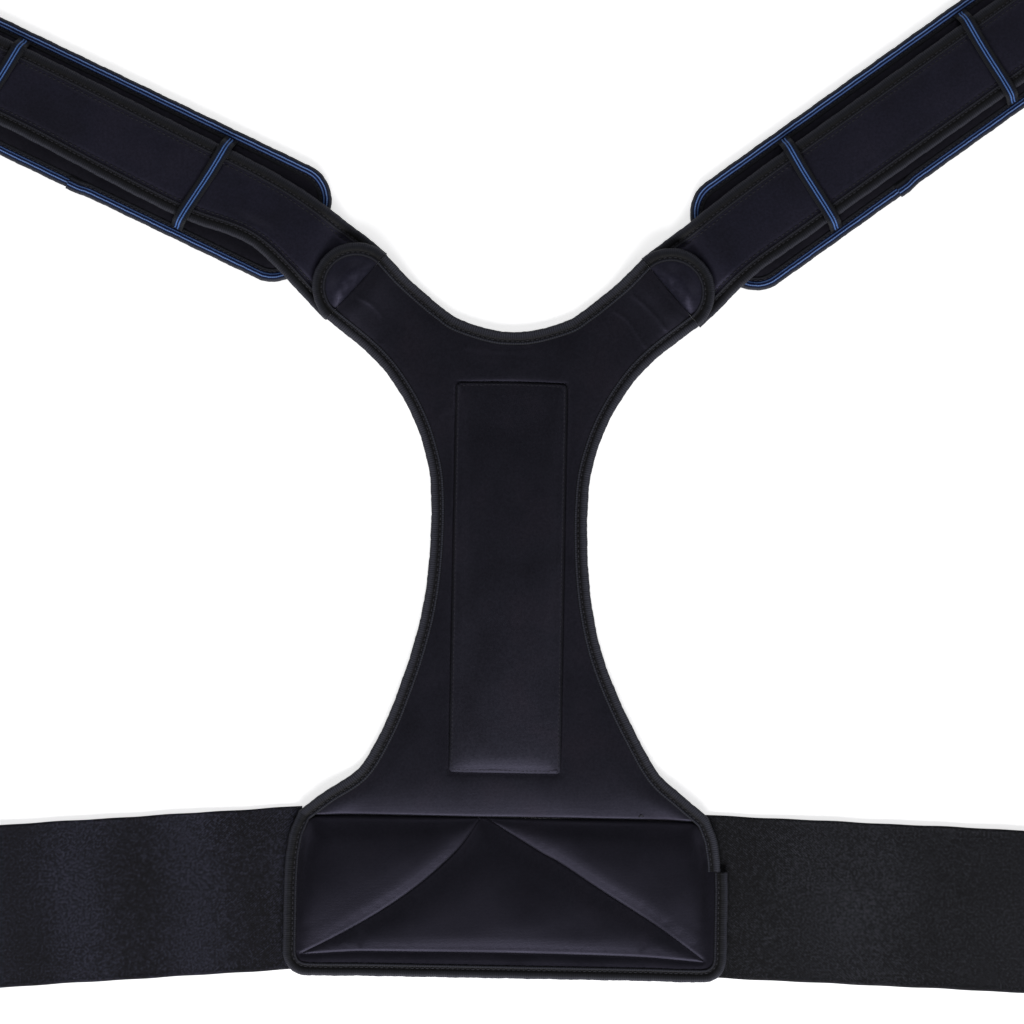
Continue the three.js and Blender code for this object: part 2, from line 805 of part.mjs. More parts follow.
// Height of a strap: on the surface, up a ramp onto the pad and down again behind it.
function strapLift(side) {
  const pad = padFrame(side);
  return (x, y) => {
    const along = alongIn(pad, x, y);
    const fromEnd = Math.min(along, padLength - along);
    const rampTop = (strapRampLength * strapRest) / (tabLift + gap / 2) - strapRampLength;
    return strapRest * THREE.MathUtils.clamp(
      (fromEnd + strapRampLength) / (rampTop + strapRampLength),
      0,
      1,
    );
  };
}

function strapHalfWidth(along) {
  const share = THREE.MathUtils.smoothstep(along, 0, strapTaper);
  return THREE.MathUtils.lerp(strapRootWidth, strapWidth, share) / 2;
}

// Places along a strap where a row is needed: close in the bend and on the ramps, far apart on the
// straight stretches, and round the corners of the free end.
function strapStations(side) {
  const close = 8;
  const bendRows = Math.ceil((side.bend - close) / close);
  const stations = [];
  for (let i = 0; i <= bendRows; i++) {
    stations.push({ along: (i / bendRows) * side.bend, narrow: 0 });
  }
  const rampFrom = side.padStart + padLength - close;
  const rampTo = side.padStart + padLength + strapRampLength + close;
  const overPad = 4;
  for (let i = 1; i <= overPad; i++) {
    stations.push({ along: THREE.MathUtils.lerp(side.bend, rampFrom, i / overPad), narrow: 0 });
  }
  const rampRows = 5;
  for (let i = 1; i <= rampRows; i++) {
    stations.push({ along: THREE.MathUtils.lerp(rampFrom, rampTo, i / rampRows), narrow: 0 });
  }
  const cornerSteps = 3;
  for (let i = 0; i <= cornerSteps; i++) {
    const turn = (i / cornerSteps) * (Math.PI / 2);
    const along = strapLength - strapCorner * (1 - Math.sin(turn));
    stations.push({ along, narrow: strapCorner * (1 - Math.cos(turn)) });
  }
  return stations;
}

const strapAcross = [-1, -0.55, 0.55, 1];
for (const [name, side] of Object.entries(lay)) {
  const lift = strapLift(side);
  const stations = strapStations(side);
  const edgeAt = (station, way) => pointIn(
    strapFrame(side, station.along),
    0,
    way * (strapHalfWidth(station.along) - station.narrow),
  );
  const upper = stations.map((station) => edgeAt(station, 1));
  const lower = stations.map((station) => edgeAt(station, -1));
  const root = strapFrame(side, 0);
  const loop = rail([...upper, ...lower.reverse()], -side.sign, {
    startIn: rootLine(root, -1),
    endIn: root.across,
  });
  const strapTape = tape(loop, tapeWidth, lift);
  add(`strap_binding_${name}`, strapTape.body, 'edgeTape');

  const rows = stations.map((station) => {
    const end = Math.min(station.along, strapLength - edgeInset);
    const frame = strapFrame(side, end);
    const half = strapHalfWidth(end) - station.narrow - edgeInset;
    return strapAcross.map((across) => {
      const place = pointIn(frame, 0, across * half);
      const bottom = gap + lift(place.x, place.y);
      return { x: place.x, y: place.y, top: bottom + strapThick, bottom };
    });
  });
  add(`shoulder_strap_${name}`, cut(closedBody(gridTriangles(rows)), [strapTape.room]), 'neoprene');

  const end = strapFrame(side, strapLength);
  const hookFrom = -tapeWidth - gap - hookLength;
  const hookWidth = strapWidth - 2 * (tapeWidth + gap);
  const hookBottom = strapThick + 2 * gap;
  const hook = slab(end, hookFrom, -tapeWidth - gap, hookWidth, hookBottom, hookBottom + hookThick);
  add(`strap_end_${name}`, hook, 'hookTape');
}

// Shoulder pads under the straps, with striped tape all round.
const padAcross = [-1, -0.62, 0.62, 1];
for (const [name, side] of Object.entries(lay)) {
  const frame = padFrame(side);
  const cornerSteps = 3;
  const ends = [];
  for (let i = 0; i <= cornerSteps; i++) {
    const turn = (i / cornerSteps) * (Math.PI / 2);
    ends.push({ along: padCorner * (1 - Math.sin(turn)), narrow: padCorner * (1 - Math.cos(turn)) });
  }
  const nearEnd = [...ends].reverse();
  const farEnd = ends.map(({ along, narrow }) => ({ along: padLength - along, narrow }));
  const stations = [...nearEnd, ...farEnd];
  const upper = stations.map((s) => pointIn(frame, s.along, padWidth / 2 - s.narrow));
  const lower = stations.map((s) => pointIn(frame, s.along, s.narrow - padWidth / 2));
  const round = rail([...upper, ...lower.reverse()], -side.sign, { closed: true });
  const padTape = tape(round, stripedTapeWidth, () => 0, true);
  add(`pad_binding_${name}`, padTape.body, 'stripedTape');

  const flatRows = stations.map((station) => padAcross.map((across) => {
    const along = THREE.MathUtils.clamp(station.along, edgeInset, padLength - edgeInset);
    const half = padWidth / 2 - station.narrow - edgeInset;
    const fromSide = half * (1 - Math.abs(across));
    const fromEdge = Math.min(along, padLength - along, fromSide);
    const share = Math.min(1, fromEdge / padEdgeSlope);
    const place = pointIn(frame, along, across * half);
    const top = THREE.MathUtils.lerp(edgeTop, padThick, share);
    return { x: place.x, y: place.y, top, bottom: 0 };
  }));
  const padBody = cut(closedBody(gridTriangles(flatRows)), [padTape.room]);
  add(`shoulder_pad_${name}`, padBody, 'neoprene');
}

// Loops: striped tape from one edge of the pad over the strap to the other.
const loopTop = strapRest + tapeHeight + gap;
const loopHalf = padWidth / 2 - stripedTapeWidth - gap;
const loopFoot = padThick + gap;
const loopOuter = [
  { out: 1, up: 0 },
  { out: 1, up: 0.84 },
  { out: 0.985, up: 0.96 },
  { out: 0.94, up: 1 },
];
const loopShape = new THREE.Shape();
const archSide = (sign, thinner) => loopOuter.map(({ out, up }) => new THREE.Vector2(
  sign * (out * loopHalf - thinner),
  loopFoot + up * (loopTop + loopThick - loopFoot) - (up > 0 ? thinner : 0),
));
loopShape.setFromPoints([
  ...archSide(1, 0),
  ...archSide(-1, 0).reverse(),
  ...archSide(-1, loopThick),
  ...archSide(1, loopThick).reverse(),
]);
for (const [name, side] of Object.entries(lay)) {
  const insets = { inner: side.innerLoop, outer: side.outerLoop };
  for (const [place, inset] of Object.entries(insets)) {
    const frame = strapFrame(side, side.padStart + inset);
    const lean = frameAt(side.sign, frame.origin.x, frame.origin.y, side.strapAngle + side.loopLean);
    const band = new THREE.ExtrudeGeometry(loopShape, { depth: loopWidth, bevelEnabled: false });
    const along = new THREE.Vector3(lean.dir.x, lean.dir.y, 0);
    const across = new THREE.Vector3(lean.across.x, lean.across.y, 0);
    const up = new THREE.Vector3(0, 0, 1);
    if (side.sign < 0) {
      across.negate();
    }
    const turn = new THREE.Matrix4().makeBasis(across, up, along);
    band.translate(0, 0, -loopWidth / 2);
    band.applyMatrix4(turn);
    band.translate(frame.origin.x, frame.origin.y, 0);
    add(`pad_loop_${name}_${place}`, band, 'stripedTape');
  }
}

export default brace;
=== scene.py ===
# %% [markdown]
# # A posture corrector, lying flat
#
# The brace is sewn from black neoprene with a knitted face. Its edges are bound with folded tape,
# two straps run out under D-shaped tabs, each over a slide-on shoulder pad with blue-striped tape,
# and a wide woven elastic belt is sewn under the quilted lumbar pad on each side.
#
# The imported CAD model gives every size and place. This lesson keeps its plan and its heights, and
# replaces each plain solid by cloth with rolls, seams, stitches and weave.

# %% Load the frame
import math

import bpy
import numpy as np
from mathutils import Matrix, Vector
from mathutils.geometry import delaunay_2d_cdt


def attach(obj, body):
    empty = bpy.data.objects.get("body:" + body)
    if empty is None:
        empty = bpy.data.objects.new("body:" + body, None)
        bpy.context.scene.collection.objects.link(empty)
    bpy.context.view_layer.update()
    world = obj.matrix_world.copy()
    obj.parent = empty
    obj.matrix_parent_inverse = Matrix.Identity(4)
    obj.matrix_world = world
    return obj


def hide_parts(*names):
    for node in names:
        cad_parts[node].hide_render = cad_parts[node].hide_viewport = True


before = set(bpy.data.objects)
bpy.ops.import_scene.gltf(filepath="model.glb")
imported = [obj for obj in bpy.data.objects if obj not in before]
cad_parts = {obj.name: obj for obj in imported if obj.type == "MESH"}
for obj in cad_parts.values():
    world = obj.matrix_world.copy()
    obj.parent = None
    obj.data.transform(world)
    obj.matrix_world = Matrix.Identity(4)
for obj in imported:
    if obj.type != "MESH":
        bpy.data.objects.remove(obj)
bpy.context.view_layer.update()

# %% [markdown]
# ## Camera
#
# The photograph looks straight down from well above, with almost no perspective, so a long lens is
# placed high up. It is turned by one degree, because the brace lies at that angle in the picture.

# %% Camera straight above
MM = 0.001
VIEW_HEIGHT_M = 1.735
VIEW_CENTRE_M = (0.001576, 0.04054)
VIEW_TURN = math.radians(1.05)

lens = bpy.data.cameras.new("top_camera")
lens.lens = 100
lens.sensor_width = 36
lens.clip_end = 20
camera = bpy.data.objects.new("top_camera", lens)
camera.location = (*VIEW_CENTRE_M, VIEW_HEIGHT_M)
camera.rotation_euler = (0, 0, VIEW_TURN)
bpy.context.scene.collection.objects.link(camera)
bpy.context.scene.camera = camera
print("width in view", round(lens.sensor_width / lens.lens * VIEW_HEIGHT_M, 4), "m")

# %% [markdown]
# ## Colours and nodes
#
# Fabric colours are read as sRGB, but the shader mixes light, so it needs linear values. One
# function turns a hex colour into those. A second one adds any node with its settings and links,
# which keeps each finish short enough to read.

# %% Two small helpers for materials
def linear(hex_colour, alpha=1.0):
    channels = [int(hex_colour[i:i + 2], 16) / 255 for i in (1, 3, 5)]
    return (*[c / 12.92 if c <= 0.04045 else ((c + 0.055) / 1.055) ** 2.4 for c in channels],
            alpha)


def add_node(tree, kind, links=None, values=None, **settings):
    """Adds a node with its properties (settings), plain inputs (values) and linked inputs."""
    node = tree.nodes.new(kind)
    for label, value in settings.items():
        setattr(node, label, value)
    for socket, value in (values or {}).items():
        node.inputs[socket].default_value = value
    for socket, source in (links or {}).items():
        tree.links.new(source, node.inputs[socket])
    return node


def start_finish(name, **constants):
    """An empty material with a Principled shader whose plain inputs are set by name."""
    finish = bpy.data.materials.new(name)
    finish.use_nodes = True
    tree = finish.node_tree
    shader = tree.nodes["Principled BSDF"]
    for socket, value in constants.items():
        shader.inputs[socket.replace("_", " ")].default_value = value
    return finish, tree, shader


def paint_stops(ramp, stops):
    """Sets the colour stops of a ramp from a list of places and hex colours."""
    elements = ramp.color_ramp.elements
    while len(elements) > 1:
        elements.remove(elements[-1])
    elements[0].position, elements[0].color = stops[0][0], linear(stops[0][1])
    for place, colour in stops[1:]:
        elements.new(place).color = linear(colour)
    return ramp


print("white is", linear("#ffffff"))

# %% [markdown]
# ## Neoprene with a knitted face
#
# The foam rubber itself is hidden: what shows is a fine nylon jersey glued to it. Jersey is matt
# when seen straight on, and its filaments shine softly where the surface turns to the light, so
# rolls along the seams look lit while flat areas stay almost black. The low specular level and the
# middling roughness give that. The knit's stitches are 0.5 mm apart; they are drawn 0.9 mm apart,
# because finer ones would not show. A mesh may carry a per-point mark that paints light and shade
# into the colour: lighter where the mark is above zero, darker where it is below.

# %% Finish: jersey-faced neoprene
KNIT_PITCH_M = 0.0009


def jersey_neoprene(name, dark, middle, warm, gloss):
    """Patches of three near blacks, with lint and knit over them; gloss is the specular level."""
    finish, tree, shader = start_finish(
        name, Roughness=0.44, Specular_IOR_Level=gloss, Specular_Tint=linear("#dcd7ff"),
        Sheen_Weight=0.03, Sheen_Roughness=0.5)
    place = add_node(tree, "ShaderNodeTexCoord").outputs["Object"]
    patches = add_node(tree, "ShaderNodeTexNoise", {"Vector": place},
                       {"Scale": 26.0, "Detail": 3.0, "Roughness": 0.55})
    tone = paint_stops(add_node(tree, "ShaderNodeValToRGB", {"Fac": patches.outputs["Fac"]}),
                       [(0.32, dark), (0.52, middle), (0.7, warm)])
    knit = add_node(tree, "ShaderNodeTexVoronoi", {"Vector": place},
                    {"Scale": 1 / KNIT_PITCH_M, "Randomness": 0.35})
    lint = add_node(tree, "ShaderNodeTexNoise", {"Vector": place},
                    {"Scale": 620.0, "Detail": 4.0, "Roughness": 0.7})
    grain = add_node(tree, "ShaderNodeMapRange", {"Value": lint.outputs["Fac"]},
                     {"From Min": 0.3, "From Max": 0.7, "To Min": 0.6, "To Max": 1.4})
    # Painted light and shade: the per-point mark makes the colour lighter or darker.
    painted_light = add_node(tree, "ShaderNodeAttribute", attribute_name="painted_light").outputs["Fac"]
    paler = add_node(tree, "ShaderNodeMath", {0: painted_light}, {1: 1.0}, operation="ADD")
    amount = add_node(tree, "ShaderNodeMath", {0: paler.outputs["Value"],
                                               1: grain.outputs["Result"]}, operation="MULTIPLY")
    colour = add_node(tree, "ShaderNodeVectorMath", {0: tone.outputs["Color"],
                                                     "Scale": amount.outputs["Value"]},
                      operation="SCALE")
    tree.links.new(colour.outputs["Vector"], shader.inputs["Base Color"])
    wear = add_node(tree, "ShaderNodeMapRange", {"Value": patches.outputs["Fac"]},
                    {"From Min": 0.3, "From Max": 0.7, "To Min": 0.42, "To Max": 0.5})
    tree.links.new(wear.outputs["Result"], shader.inputs["Roughness"])
    height = add_node(tree, "ShaderNodeMath", {0: knit.outputs["Distance"],
                                               1: lint.outputs["Fac"]}, operation="ADD")
    bump = add_node(tree, "ShaderNodeBump", {"Height": height.outputs["Value"]},
                    {"Strength": 0.35, "Distance": 0.00012})
    tree.links.new(bump.outputs["Normal"], shader.inputs["Normal"])
    return finish


neoprene = jersey_neoprene("jersey_neoprene", "#121216", "#16161b", "#19171c", gloss=0.34)
pad_neoprene = jersey_neoprene("pad_jersey_neoprene", "#0d0d10", "#111114", "#141317",
                               gloss=0.28)
strap_neoprene = jersey_neoprene("strap_jersey_neoprene", "#17171e", "#1a1a24", "#1d1c26",
                                 gloss=0.34)
print("finishes", neoprene.name, pad_neoprene.name, strap_neoprene.name)

# %% [markdown]
# ## Ribbed binding tape
#
# Binding tape is a narrow woven grosgrain: its weft makes fine ribs straight across the tape. It is
# a duller and lighter black than the neoprene. Each tape's mesh carries two measures, `along` and
# `across` in millimetres, so the ribs follow every curve. Real ribs are 0.7 mm apart and are drawn
# 1.3 mm apart. Light and shade are painted across the tape: a lighter outer roll and inner lip, and
# a dark stitch groove. Round the lumbar pad, the tabs and the straps a darker, shaded copy of the
# same tape is used, with painted light on its outer roll only.

# %% Finish: ribbed binding tape
RIB_PITCH = 1.3
EDGE_WANDER = 0.3


def rib_wave(tree, pitch):
    """A wave between 0 and 1 along a tape, with some unevenness in it."""
    along = add_node(tree, "ShaderNodeAttribute", attribute_name="along").outputs["Fac"]
    place = add_node(tree, "ShaderNodeTexCoord").outputs["Object"]
    uneven = add_node(tree, "ShaderNodeTexNoise", {"Vector": place},
                      {"Scale": 380.0, "Detail": 2.0})
    shift = add_node(tree, "ShaderNodeMath", {0: uneven.outputs["Fac"], 2: along},
                     {1: 0.9}, operation="MULTIPLY_ADD")
    turn = add_node(tree, "ShaderNodeMath", {0: shift.outputs["Value"]},
                    {1: 2 * math.pi / pitch}, operation="MULTIPLY")
    wave = add_node(tree, "ShaderNodeMath", {0: turn.outputs["Value"]}, operation="SINE")
    return add_node(tree, "ShaderNodeMapRange", {"Value": wave.outputs["Value"]},
                    {"From Min": -1.0, "From Max": 1.0}).outputs["Result"], uneven.outputs["Fac"]


def tape_finish(name, stops, width, rib_depth, gloss):
    """Woven tape; stops are colours at places in millimetres in from its outer edge, with light and
    shade painted in.
    """
    finish, tree, shader = start_finish(
        name, Roughness=0.62, Specular_IOR_Level=gloss, Sheen_Weight=0.05,
        Sheen_Roughness=0.4)
    rib, uneven = rib_wave(tree, RIB_PITCH)
    across = add_node(tree, "ShaderNodeAttribute", attribute_name="across").outputs["Fac"]
    wander = add_node(tree, "ShaderNodeMath", {0: uneven, 2: across}, {1: EDGE_WANDER},
                      operation="MULTIPLY_ADD")
    share = add_node(tree, "ShaderNodeMath", {0: wander.outputs["Value"]},
                     {1: width + EDGE_WANDER / 2}, operation="DIVIDE")
    stripe = paint_stops(add_node(tree, "ShaderNodeValToRGB", {"Fac": share.outputs["Value"]}),
                         [(place / width, colour) for place, colour in stops])
    light = add_node(tree, "ShaderNodeMapRange", {"Value": rib},
                     {"To Min": 1 - rib_depth, "To Max": 1 + rib_depth})
    colour = add_node(tree, "ShaderNodeVectorMath", {0: stripe.outputs["Color"],
                                                     "Scale": light.outputs["Result"]},
                      operation="SCALE")
    tree.links.new(colour.outputs["Vector"], shader.inputs["Base Color"])
    bump = add_node(tree, "ShaderNodeBump", {"Height": rib}, {"Strength": 0.5,
                                                             "Distance": 0.00015})
    tree.links.new(bump.outputs["Normal"], shader.inputs["Normal"])
    return finish


TAPE_WIDTH = 8.0
STRIPED_WIDTH = 8.4
# Painted light and shade in the stops: a lighter outer roll and inner lip, a near black stitch
# groove.
binding_tape = tape_finish(
    "ribbed_binding_tape",
    [(0, "#25262c"), (0.8, "#33343c"), (1.8, "#383942"), (3.2, "#2d2e36"), (4.3, "#1b1b21"),
     (4.9, "#0a0a0d"), (6.2, "#0b0b0e"), (6.8, "#292a33"), (7.4, "#31333c"), (7.8, "#101014")],
    TAPE_WIDTH, rib_depth=0.45, gloss=0.2)
# A shaded copy of the same tape: darker stops, painted shade.
shaded_tape = tape_finish(
    "shaded_binding_tape",
    [(0, "#212228"), (0.8, "#33343d"), (1.5, "#2c2d35"), (2.6, "#1b1c22"), (3.7, "#15161b"),
     (4.6, "#08080a"), (6.2, "#09090c"), (6.8, "#202129"), (7.4, "#272831"), (7.8, "#0d0d11")],
    TAPE_WIDTH, rib_depth=0.3, gloss=0.2)
print("rib pitch", RIB_PITCH, "mm")

# %% [markdown]
# ## Striped tape
#
# The shoulder pads and their loops are trimmed with a black tape that has two light blue lines
# woven in, about 0.9 mm wide each, on a navy ground. A colour ramp over `across` draws them at
# their measured places: 2.8 mm and 4.75 mm in from the pad's edge, and 0.9 mm to each side of a
# loop's middle.

# %% Finish: striped tape and striped loop
LIGHT_BLUE, NAVY, CHARCOAL = "#7495d0", "#06133a", "#34363e"
# The grey stops at the tape's outer edge are painted light on its roll; the tape itself is black
# there.
pad_stripes = [(0, "#2a2b31"), (0.9, CHARCOAL), (1.6, "#272c38"), (2.0, NAVY), (2.4, NAVY),
               (2.7, LIGHT_BLUE), (3.0, LIGHT_BLUE), (3.3, NAVY), (4.25, NAVY),
               (4.6, "#597bb6"), (4.85, "#4e6ca6"), (5.2, NAVY), (5.9, "#080b16"),
               (7.1, "#15171f"), (8.4, "#0a0a0f")]
LOOP_BLUE = "#587fbe"
loop_stripes = [(0, "#17181c"), (1.2, "#1c1e23"), (2.2, "#121828"), (2.6, NAVY),
                (3.0, LOOP_BLUE), (3.3, LOOP_BLUE), (3.65, NAVY), (4.35, NAVY),
                (4.75, LOOP_BLUE), (5.0, LOOP_BLUE), (5.4, NAVY), (5.9, "#121828"),
                (6.8, "#1c1e23"), (8, "#17181c")]
striped_tape = tape_finish("striped_pad_tape", pad_stripes, STRIPED_WIDTH, rib_depth=0.16,
                           gloss=0.2)
striped_loop = tape_finish("striped_loop_tape", loop_stripes, TAPE_WIDTH, rib_depth=0.16,
                           gloss=0.2)
print("stripe stops", len(pad_stripes), len(loop_stripes))

# %% [markdown]
# ## Woven elastic
#
# Belt elastic is woven in a twill over rubber threads, so fine ridges run slantwise across it. The
# ridges are 1.1 mm apart and nearly lost in its dry fluff. Faint paler and darker bands along the
# belt are painted light and shade, for its slow waves. Near the lumbar pad the belt lies in the
# pad's shade, which is painted in as a darker colour.

# %% Finish: twill elastic
TWILL_PITCH = 1.1
TWILL_SLANT = 1.25
SLANT_STEP = 1.6        # a step along the belt against one square to the ridges


def twill_elastic(name, dark, middle, light, painted_band):
    """Woven elastic; the last argument gives the place, length and depth of painted bands of light
    and shade along the belt.
    """
    finish, tree, shader = start_finish(
        name, Roughness=0.68, Specular_IOR_Level=0.16, Sheen_Weight=0.04, Sheen_Roughness=0.5)
    along = add_node(tree, "ShaderNodeAttribute", attribute_name="along").outputs["Fac"]
    across = add_node(tree, "ShaderNodeAttribute", attribute_name="across").outputs["Fac"]
    place = add_node(tree, "ShaderNodeTexCoord").outputs["Object"]
    uneven = add_node(tree, "ShaderNodeTexNoise", {"Vector": place},
                      {"Scale": 300.0, "Detail": 3.0})
    slant = add_node(tree, "ShaderNodeMath", {0: across, 2: along}, {1: TWILL_SLANT},
                     operation="MULTIPLY_ADD")
    shift = add_node(tree, "ShaderNodeMath", {0: uneven.outputs["Fac"],
                                              2: slant.outputs["Value"]}, {1: 2.4},
                     operation="MULTIPLY_ADD")
    turn = add_node(tree, "ShaderNodeMath", {0: shift.outputs["Value"]},
                    {1: 2 * math.pi / (TWILL_PITCH * SLANT_STEP)}, operation="MULTIPLY")
    ridge = add_node(tree, "ShaderNodeMath", {0: turn.outputs["Value"]}, operation="SINE")
    fluff = add_node(tree, "ShaderNodeTexNoise", {"Vector": place},
                     {"Scale": 760.0, "Detail": 3.0, "Roughness": 0.65})
    grain = add_node(tree, "ShaderNodeMapRange", {"Value": fluff.outputs["Fac"]},
                     {"From Min": 0.25, "From Max": 0.75, "To Min": -3.0, "To Max": 3.0})
    weave = add_node(tree, "ShaderNodeMath", {0: grain.outputs["Result"],
                                              1: ridge.outputs["Value"]}, operation="ADD")
    cloud = add_node(tree, "ShaderNodeTexNoise", {"Vector": place}, {"Scale": 18.0, "Detail": 3.0})
    drift = add_node(tree, "ShaderNodeMapRange", {"Value": cloud.outputs["Fac"]},
                     {"To Min": 0.32, "To Max": 0.68})
    peak, length, depth = painted_band
    # Painted light and shade: paler and darker bands along the belt, for its slow waves.
    from_peak = add_node(tree, "ShaderNodeMath", {0: along}, {1: peak}, operation="SUBTRACT")
    band_turn = add_node(tree, "ShaderNodeMath", {0: from_peak.outputs["Value"]},
                    {1: 2 * math.pi / length}, operation="MULTIPLY")
    painted_bands = add_node(tree, "ShaderNodeMath", {0: band_turn.outputs["Value"]}, operation="COSINE")
    soft = add_node(tree, "ShaderNodeMath", {0: painted_bands.outputs["Value"],
                                             2: drift.outputs["Result"]}, {1: depth},
                    operation="MULTIPLY_ADD")
    level = add_node(tree, "ShaderNodeMath", {0: weave.outputs["Value"],
                                              2: soft.outputs["Value"]}, {1: 0.18},
                     operation="MULTIPLY_ADD")
    tone = paint_stops(add_node(tree, "ShaderNodeValToRGB", {"Fac": level.outputs["Value"]}),
                       [(0.0, dark), (0.5, middle), (1.0, light)])
    shade = add_node(tree, "ShaderNodeMapRange", {"Value": along},
                     {"From Min": 14.0, "From Max": 46.0, "To Min": 0.75, "To Max": 1.0})
    colour = add_node(tree, "ShaderNodeVectorMath", {0: tone.outputs["Color"],
                                                     "Scale": shade.outputs["Result"]},
                      operation="SCALE")
    tree.links.new(colour.outputs["Vector"], shader.inputs["Base Color"])
    bump = add_node(tree, "ShaderNodeBump", {"Height": weave.outputs["Value"]},
                    {"Strength": 0.35, "Distance": 0.00008})
    tree.links.new(bump.outputs["Normal"], shader.inputs["Normal"])
    return finish


elastic = {
    "left": twill_elastic("twill_elastic_left", "#070709", "#16161d", "#383949",
                          painted_band=(69, 70, 0.13)),
    "right": twill_elastic("twill_elastic_right", "#070708", "#15161a", "#36373e",
                           painted_band=(100, 160, 0.08)),
}
print("twill pitch", TWILL_PITCH, "mm")

# %% [markdown]
# ## Thread, hook tape and paper
#
# The thread is a spun polyester, nearly black. Hook tape is a stiff nylon ground with small hooks,
# glossier than any cloth here. The floor is white paper on a light table, so it glows a little and
# its shadows stay pale. All three are a grain between two tones, so one function makes them.

# %% Finishes: thread, hook tape, paper
def grained(name, dark, light, pitch, roughness, gloss, depth):
    """A plain finish with a grain; pitch and depth of the grain are in metres."""
    finish, tree, shader = start_finish(name, Roughness=roughness,
                                        Specular_IOR_Level=gloss)
    place = add_node(tree, "ShaderNodeTexCoord").outputs["Object"]
    grain = add_node(tree, "ShaderNodeTexNoise", {"Vector": place},
                     {"Scale": 1 / pitch, "Detail": 4.0, "Roughness": 0.6})
    tone = paint_stops(add_node(tree, "ShaderNodeValToRGB", {"Fac": grain.outputs["Fac"]}),
                       [(0.35, dark), (0.65, light)])
    tree.links.new(tone.outputs["Color"], shader.inputs["Base Color"])
    bump = add_node(tree, "ShaderNodeBump", {"Height": grain.outputs["Fac"]},
                    {"Strength": 0.4, "Distance": depth})
    tree.links.new(bump.outputs["Normal"], shader.inputs["Normal"])
    return finish


PAPER_GLOW = 0.62
thread = grained("spun_polyester_thread", "#1c1c21", "#2d2d34", pitch=0.0005, roughness=0.6,
                 gloss=0.25, depth=0.0001)
hook_nylon = grained("hook_tape_nylon", "#0b0b0d", "#17171a", pitch=0.0012, roughness=0.4,
                     gloss=0.4, depth=0.0002)
paper = grained("white_paper", "#f2f2f2", "#f7f7f7", pitch=0.004, roughness=0.9, gloss=0.1,
                depth=0.00002)
paper_shader = paper.node_tree.nodes["Principled BSDF"]
paper_shader.inputs["Emission Color"].default_value = linear("#ffffff")
paper_shader.inputs["Emission Strength"].default_value = PAPER_GLOW
print("finishes", thread.name, hook_nylon.name, paper.name)

# %% [markdown]
# ## Sizes of the brace
#
# These are the CAD model's own sizes in millimetres, so that every cloth piece lies where its solid
# is. The lay table says how each strap and belt lies.

# %% Sizes and lay, in millimetres and degrees
WAIST_HEIGHT, WAIST_HALF, HIP_HALF, HIP_DROP = 32, 47.6, 124.7, 143.4
SEAM_Y, NECK_HEIGHT, HIP_SWAY = -145.8, 150.3, 2.4
TAB_X, TAB_Y, TAB_RADIUS, ARM_ANGLE = 95.5, 175.7, 26.8, 41.5
ARM_RAMP, TAB_RISE, TAB_LIFT = 34, 2.4, 4.3
POCKET_WIDTH, POCKET_LENGTH = 67.7, 236.6
LUMBAR_HALF, LUMBAR_HEIGHT, LUMBAR_CORNER = 133, 97.9, 14
LUMBAR_STEP, STEP_Y = 4.2, -176.3
GAP, EDGE_INSET = 0.3, 1.0
STRAP_WIDTH, STRAP_ROOT, STRAP_TAPER, STRAP_LENGTH, STRAP_CORNER = 51, 55, 40, 450, 14
PAD_LENGTH, PAD_WIDTH, PAD_THICK, PAD_CORNER, STRAP_RAMP = 280, 76, 5, 23, 17
BELT_WIDTH, BELT_THICK, BELT_TUCK, BELT_REACH, BELT_LIFT = 99, 1.8, 14, 500, 2.1
LIFT_START, LIFT_END = 84, 112
HOOK_LENGTH, HOOK_MARGIN = 60, 5

LAY = {
    "left": dict(sign=-1, strap_shift=0, strap_angle=24.6, bend=112, pad_start=36,
                 loops={"inner": 76.4, "outer": 215.6}, loop_lean=6.5, belt_drop=190.2,
                 belt_droop=4.65),
    "right": dict(sign=1, strap_shift=-0.4, strap_angle=36.6, bend=112, pad_start=33.7,
                  loops={"inner": 73.6, "outer": 205.9}, loop_lean=-4.5, belt_drop=191.3,
                  belt_droop=1.7),
}
print("sides", list(LAY))

# %% [markdown]
# ## Heights that the pieces share
#
# Some pieces lie on others: the hips on the belts, the arms on the straps, the straps on the pads.
# Each such rise is a smooth step in plan, and each piece asks the same function, so none cuts into
# its neighbour.

# %% Lift functions
def smooth_share(value, low, high):
    """From 0 at low to 1 at high, level at both ends."""
    t = np.clip((value - low) / (high - low), 0, 1)
    return t * t * (3 - 2 * t)


def unit(degrees, sign):
    """Directions along and across something at an angle; sign is 1 on the right, -1 on the left."""
    a = math.radians(degrees)
    return (np.array([sign * math.cos(a), math.sin(a)]),
            np.array([-sign * math.sin(a), math.cos(a)]))


def hip_lift(p):
    rise = BELT_LIFT * smooth_share(np.abs(p[:, 0]), LIFT_START, LIFT_END)
    return np.where(p[:, 1] < 0, rise, 0)


def along_arm(p):
    a = math.radians(ARM_ANGLE)
    return (np.abs(p[:, 0]) - TAB_X) * math.cos(a) + (p[:, 1] - TAB_Y) * math.sin(a)


def panel_lift(p):
    s = along_arm(p)
    rise = TAB_LIFT * smooth_share(s, -ARM_RAMP, -GAP) + TAB_RISE * np.maximum(s, 0) / TAB_RADIUS
    return np.where(p[:, 1] < 0, hip_lift(p), rise)


print("arm rise", panel_lift(np.array([[TAB_X, TAB_Y], [0, 100]])))

# %% [markdown]
# ## Curves in plan
#
# Knots are joined by Catmull-Rom curves, the same kind that the CAD model uses, and then spaced
# evenly. A tape or a seam needs its direction at each point, and so the normal to its left.

# %% Curve helpers
def respace(points, step):
    run = np.concatenate([[0], np.cumsum(np.linalg.norm(np.diff(points, axis=0), axis=1))])
    at = np.linspace(0, run[-1], max(2, round(run[-1] / step) + 1))
    return np.column_stack([np.interp(at, run, column) for column in points.T])


